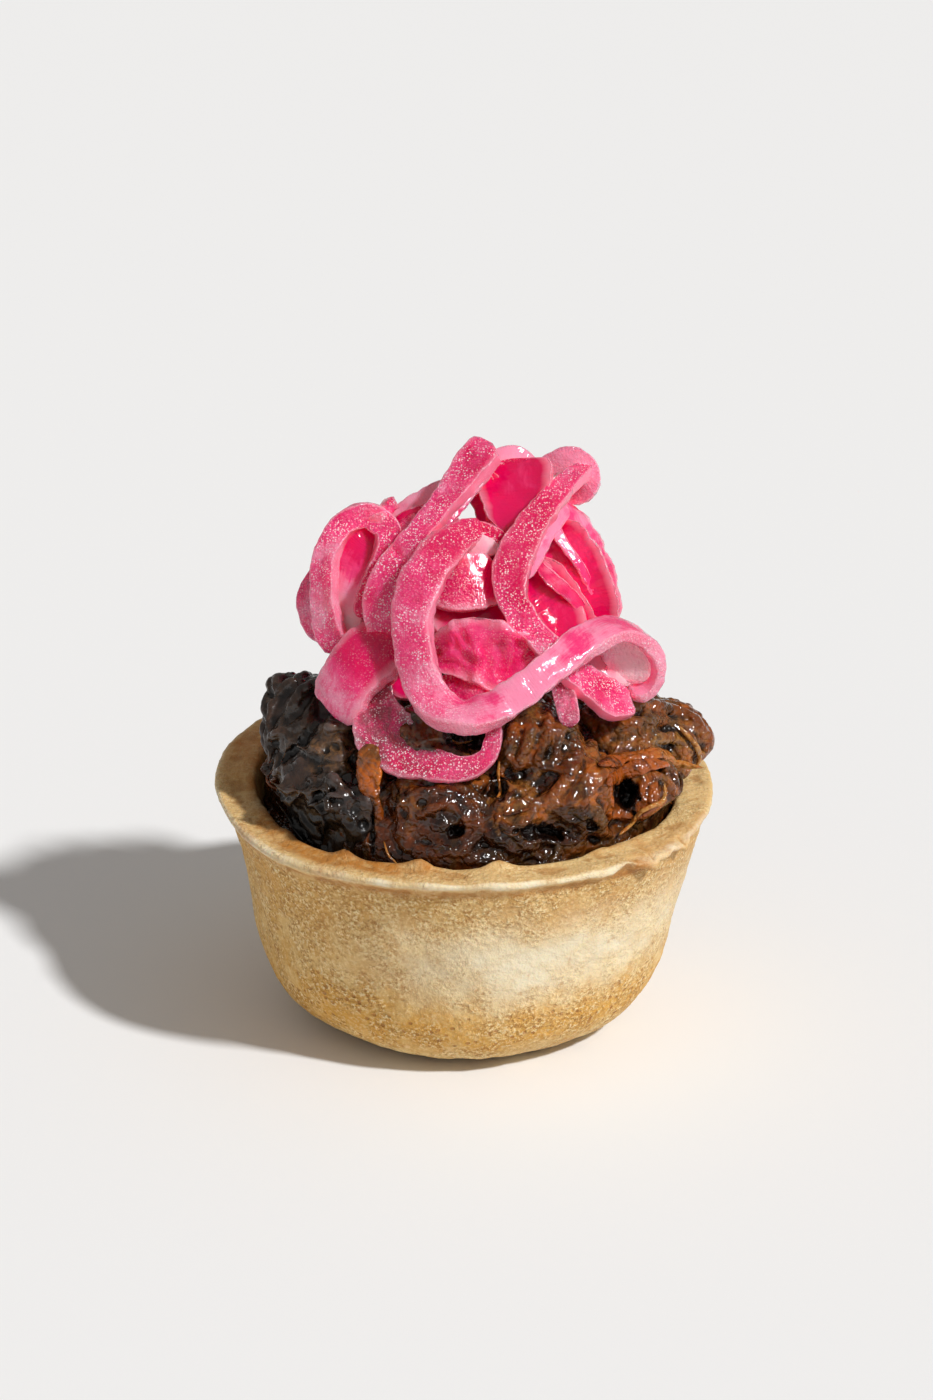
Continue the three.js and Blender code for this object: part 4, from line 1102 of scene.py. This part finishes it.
# one section of a strip: a box with round corners. Each row has its place on the flats, u and v, its turn
# round a corner and how much it belongs to a broad face: 1 on it, 0.5 on a corner, 0 on a narrow side
def sectionPoints():
    rows = []
    for side in (1, -1):
        rows += [(u * side, side, 0, 1) for u in np.linspace(1, -1, 9)]
        rows += [(-side, side, turn, 0.5) for turn in (30, 60)]
        rows += [(-side, v * side, 0, 0) for v in np.linspace(1, -1, 4)]
        rows += [(-side, -side, -turn, 0.5) for turn in (60, 30)]
    return rows


sectionRows = sectionPoints()
broadPart = np.array([row[3] for row in sectionRows])


def sectionShape(halfWide, halfThick):
    corner = min(stripSpec["corner"], halfThick * 0.75)
    flatU, flatV = halfWide - corner, halfThick - corner
    places = []
    for u, v, turn, part in sectionRows:
        a = math.radians(abs(turn))
        if part == 1:
            places.append((u * flatU, v * halfThick))
        elif part == 0:
            places.append((u * halfWide, v * flatV))
        else:
            places.append((u * (flatU + corner * math.sin(a)), v * (flatV + corner * math.cos(a))))
    return np.array(places).T


def makeStrip(spec, seed):
    spec = {**stripDefaults, **spec}
    rng = np.random.default_rng(seed)
    line = [fromView(p) for p in spec["path"]] if "path" in spec else spec["places"]
    places, run = smoothLine(line, stripSpec["step"])
    t = run / run[-1]
    waves = [np.sin(run * (0.16 + 0.11 * k) + rng.uniform(0, 6.28)) for k in range(6)]
    along = unit(np.gradient(places, axis=0))
    if "face" in spec:
        looks = np.array([viewDirection(face) for face in np.atleast_2d(spec["face"])])
        looks = np.stack([spread(looks[:, k], t) for k in range(3)], axis=1)
    else:
        looks = places - fromView(stripSpec["tangleCentre"])
    looks = squareTo(looks, along)
    side = np.cross(looks, along)
    twist = (0.1 * waves[0])[:, None]
    looks, side = looks * np.cos(twist) + side * np.sin(twist), side * np.cos(twist) - looks * np.sin(twist)
    uneven = noiseAt([(s * 0.55, seed, 0) for s in run]) + 0.6 * noiseAt([(s * 1.7, seed, 5) for s in run])
    wide = spread(spec["width"], t) * (1 + 0.035 * waves[2] + 0.07 * uneven) / 2
    thick = spread(spec["thick"], t) * (1 + 0.06 * waves[3]) / 2 * stripSpec["slim"]
    # the ends narrow a little, and their last rings close on the middle
    wide *= 0.84 + 0.16 * smoothStep(0, 2.4, np.minimum(run, run[-1] - run))
    order = ringOrder(len(places))
    closing = np.interp(order, [0, 1, 2, 3], [0, 0.7, 0.95, 1])
    ringU, ringV, across = [], [], []
    for halfWide, halfThick, shrink in zip(wide, thick, closing):
        us, vs = sectionShape(halfWide, halfThick)
        share = np.clip(us / halfWide, -1, 1)
        vs = vs * (1 - spec["hollow"] * (1 - share ** 4)) + spec["cup"] * share ** 2
        ringU.append(us * shrink)
        ringV.append(vs * shrink)
        across.append(share)
    ringU, ringV, across = np.array(ringU), np.array(ringV), np.array(across)
    slant = rng.uniform(-0.5, 0.5, 2)
    push = slant[0] * smoothStep(2.0, 0.2, run) + slant[1] * smoothStep(2.0, 0.2, run[-1] - run)
    rings = ringsAround(places, (side, ringU), (looks, ringV), (along, ringU * push[:, None]))
    crumple = spec["crumple"]
    for k, j in np.ndindex(rings.shape[:2]):
        place = Vector(rings[k, j])
        for size, far in ((0.45, max(crumple, 0.12)), (1.2, 0.11), (2.6, 0.05)):
            rings[k, j] += np.array(noise.noise_vector(place * size)) * far
        if crumple > 0.1:
            fold = abs(noise.noise(place * 0.8 + Vector((3, 1, 7))))
            rings[k, j] += looks[k] * (0.5 - 2.0 * fold) * crumple
    piece, i, j = sweepRings(rings)
    skin = spread(spec["skin"], t)[:, None]
    cut = broadPart * (1 - skin) + (1 - broadPart) * skin
    paint(piece, -1, tone=spread(spec["tone"], t)[i] + 0.08 * waves[4][i])
    paint(piece, thin=spread(spec["thin"], t)[i], cut=np.maximum(cut[i, j], smoothStep(2.2, 0.8, order)[i]),
          edge=1 - np.abs(np.abs(across[i, j]) - 0.96) / 0.12)
    # the grain of the strip is as long as the strip is
    layer = piece.data.uv_layers.active.data
    uv = np.empty(len(layer) * 2, dtype=np.float32)
    layer.foreach_get("uv", uv)
    layer.foreach_set("uv", (uv.reshape(-1, 2) * [run[-1] / 10, 1.3]).astype(np.float32).ravel())
    return piece


def crossesOpening(places):
    line, _ = smoothLine(places, 0.6)
    return any(math.hypot(across - a, up - u) < reach + 2.0
               for across, up in map(seenAt, line) for a, u, reach in openings)


# the sides and back of the tangle: arcs that lean every way over a round middle, in two layers
def hiddenStrips():
    rng = np.random.default_rng(29)
    specs = []
    while len(specs) < 30:
        layer = len(specs) % 2
        bearing = 0.05 + 3.0 * (len(specs) + 0.5 * rng.random()) / 30
        height = 36.5 + 14.5 * rng.random()
        reach = (12.2 - 0.42 * max(0, height - 42)) * (0.98 if layer else 0.78) + 0.8 * rng.random()
        tilt = rng.uniform(-1.25, 1.25)
        stretch = rng.uniform(0.55, 0.85)
        places = []
        for s in np.linspace(-1, 1, 7):
            turn = bearing + stretch * s * math.cos(tilt)
            bulge = reach - 2.4 * s * s
            rise = height + 7.0 * s * math.sin(tilt) - 1.6 * s * s
            places.append([bulge * math.cos(turn), bulge * math.sin(turn), rise])
        wide = rng.uniform(3.0, 4.4)
        spec = {"places": places, "width": [wide * 0.85, wide, wide * 0.85], "thick": 1.9,
                "tone": rng.uniform(0.15, 0.95, 3), "skin": rng.uniform(0, 1)}
        if not crossesOpening(places):
            specs.append(spec)
    return specs


# arcs that fill the middle behind the sheets
def fillStrips():
    rng = np.random.default_rng(71)
    specs = []
    while len(specs) < 10:
        height = 34.5 + 1.5 * len(specs)
        reach = 6.0 - 0.2 * max(0, height - 42)
        start = rng.uniform(-0.4, 0.6)
        turns = np.linspace(0, rng.uniform(2.0, 3.0), 8)
        places = [[reach * math.cos(start + a) + 0.8, reach * math.sin(start + a) + 1.5,
                   height + 2.4 * math.sin(a + len(specs))] for a in turns]
        specs.append({"places": places, "width": [4, 5.5, 4], "thick": 1.8, "tone": 1})
    return [spec for spec in specs if not crossesOpening(spec["places"])]


onionColours = {
    "base": (0.94, 0.26, 0.42), "red": (0.9, 0.045, 0.2), "crimson": (0.74, 0.0005, 0.095),
    "milky": (0.9, 0.62, 0.66), "through": (0.3, 0.07, 0.085), "edge": (0.95, 0.4, 0.5),
    "speck": (1.0, 0.82, 0.88),
}


def makeOnion():
    material, tree, shader = newMaterial("pickledOnion", {
        "Roughness": 0.3, "Transmission Weight": 0.1, "Subsurface Weight": 1.0,
        "Subsurface Radius": (1.0, 0.22, 0.32), "Subsurface Scale": 0.0018, "Specular IOR Level": 0.6,
        "IOR": 1.4, "Coat Weight": 0.4, "Coat Roughness": 0.15, "Coat IOR": 1.4})
    shader.subsurface_method = "BURLEY"
    coordinates = addNode(tree, "ShaderNodeTexCoord").outputs
    place, uv = coordinates["Object"], coordinates["UV"]
    tone, cut, edge, thin = readPaint(tree, "tone", "cut", "edge", "thin")
    cloud = grain(tree, place, 3.4, 4, 0.62, 0.5)
    streak = grain(tree, uv, 1000, 3, 0.5, stretch=(5, 60, 1))
    ribs = grain(tree, uv, 1000, 2, 0.5, stretch=(34, 4, 1))
    shift = math2(tree, "MULTIPLY_ADD", math2(tree, "SUBTRACT", cloud, 0.5), 1.8, tone)
    shift = math2(tree, "MULTIPLY_ADD", math2(tree, "SUBTRACT", streak, 0.5), 0.5, shift, clamp=True)
    # painted glints: pale specks in a share of the wet cells on the cut faces
    dome, glint = wetCells(tree, place, 0.26, 0.55)
    dome2, glint2 = wetCells(tree, place, 0.17, 0.5)
    patch = ramp(tree, grain(tree, place, 1.8, 2), 0.37, 0.56, 0.12)
    speck = product(tree, math2(tree, "MAXIMUM", glint, glint2), product(tree, cut, patch))
    colour = layOver(tree, onionColours, {
        # crimson is partly the strips' own colour and partly painted shade on deep strips
        "red": ramp(tree, shift, 0.0, 0.45), "crimson": ramp(tree, shift, 0.38, 0.95),
        "milky": product(tree, ramp(tree, tone, -0.05, -0.9), ramp(tree, cloud, 0.36, 0.6, 0.35)),
        # painted see-through: where the strip is thin, the brown of the meat behind it
        "through": product(tree, thin, ramp(tree, grain(tree, place, 1.3, 3, 0.6), 0.35, 0.6, 0.2, 0.9)),
        "edge": product(tree, edge, 0.7), "speck": product(tree, speck, 0.9)})
    cells = product(tree, math2(tree, "ADD", dome, product(tree, dome2, 0.5)), ramp(tree, cut, 0.0, 0.6, 0.1))
    normal = addBump(tree, cells, 0.13)
    normal = addBump(tree, ribs, 0.12, 0.5, normal)
    normal = addBump(tree, grain(tree, place, 1.5, 1), 0.3, 0.5, normal)
    connect(tree, shader, {"Base Color": colour, "Roughness": ramp(tree, cut, 0.2, 0.8, 0.11, 0.12),
                           "Normal": normal})
    return material


strips = [makeStrip(spec, 100 + n) for n, spec in enumerate(frontStrips.values())]
strips += [makeStrip(spec, 300 + n) for n, spec in enumerate(hiddenStrips())]
strips += [makeStrip(spec, 500 + n) for n, spec in enumerate(fillStrips())]
onion = joinPieces(strips, "onionStrips")
closeMesh(onion)
finishPiece(onion, "pickled_onion", makeOnion())

# stage, light and camera

print("stage")
light = {"bearing": math.radians(36), "height": math.radians(45.2), "spread": math.radians(4.5), "sun": 3.09,
         "world": 0.31}
bpy.ops.mesh.primitive_plane_add(size=6, location=(0, 0.8, 0))
floor = bpy.context.object
floor.name = "floor"
floorLook = {"Base Color": (0.86, 0.86, 0.86, 1), "Roughness": 0.8, "Specular IOR Level": 0.1}
floor.data.materials.append(newMaterial("paleFloor", floorLook)[0])

towards = Vector((math.cos(light["bearing"]) * math.cos(light["height"]),
                  -math.sin(light["bearing"]) * math.cos(light["height"]), math.sin(light["height"])))
bpy.ops.object.light_add(type="SUN", location=towards)
key = bpy.context.object
key.name = "keyLight"
key.data.angle = light["spread"]
key.data.energy = light["sun"]
key.rotation_mode = "QUATERNION"
key.rotation_quaternion = towards.to_track_quat("Z", "Y")

world = bpy.context.scene.world or bpy.data.worlds.new("studio")
bpy.context.scene.world = world
world.use_nodes = True
background = world.node_tree.nodes["Background"]
background.inputs["Color"].default_value = (1.0, 0.965, 0.93, 1)
background.inputs["Strength"].default_value = light["world"]

bpy.context.scene.view_settings.view_transform = "Standard"
bpy.context.scene.view_settings.look = "None"

looking = Vector((0, cosRise, -sinRise))
standing = Vector((0, 0, eye["aimHeight"])) * mm - looking * eye["distance"] * mm
aim = Vector((0, 0, eye["aimHeight"])) * mm + Vector((0, sinRise, cosRise)) * eye["aimLift"] * mm
bpy.ops.object.camera_add(location=standing)
camera = bpy.context.object
camera.data.lens = eye["lens"]
camera.data.sensor_width = 36
camera.data.clip_start = 0.01
camera.data.clip_end = 20
camera.rotation_mode = "QUATERNION"
camera.rotation_quaternion = (aim - standing).to_track_quat("-Z", "Y")
bpy.context.scene.camera = camera
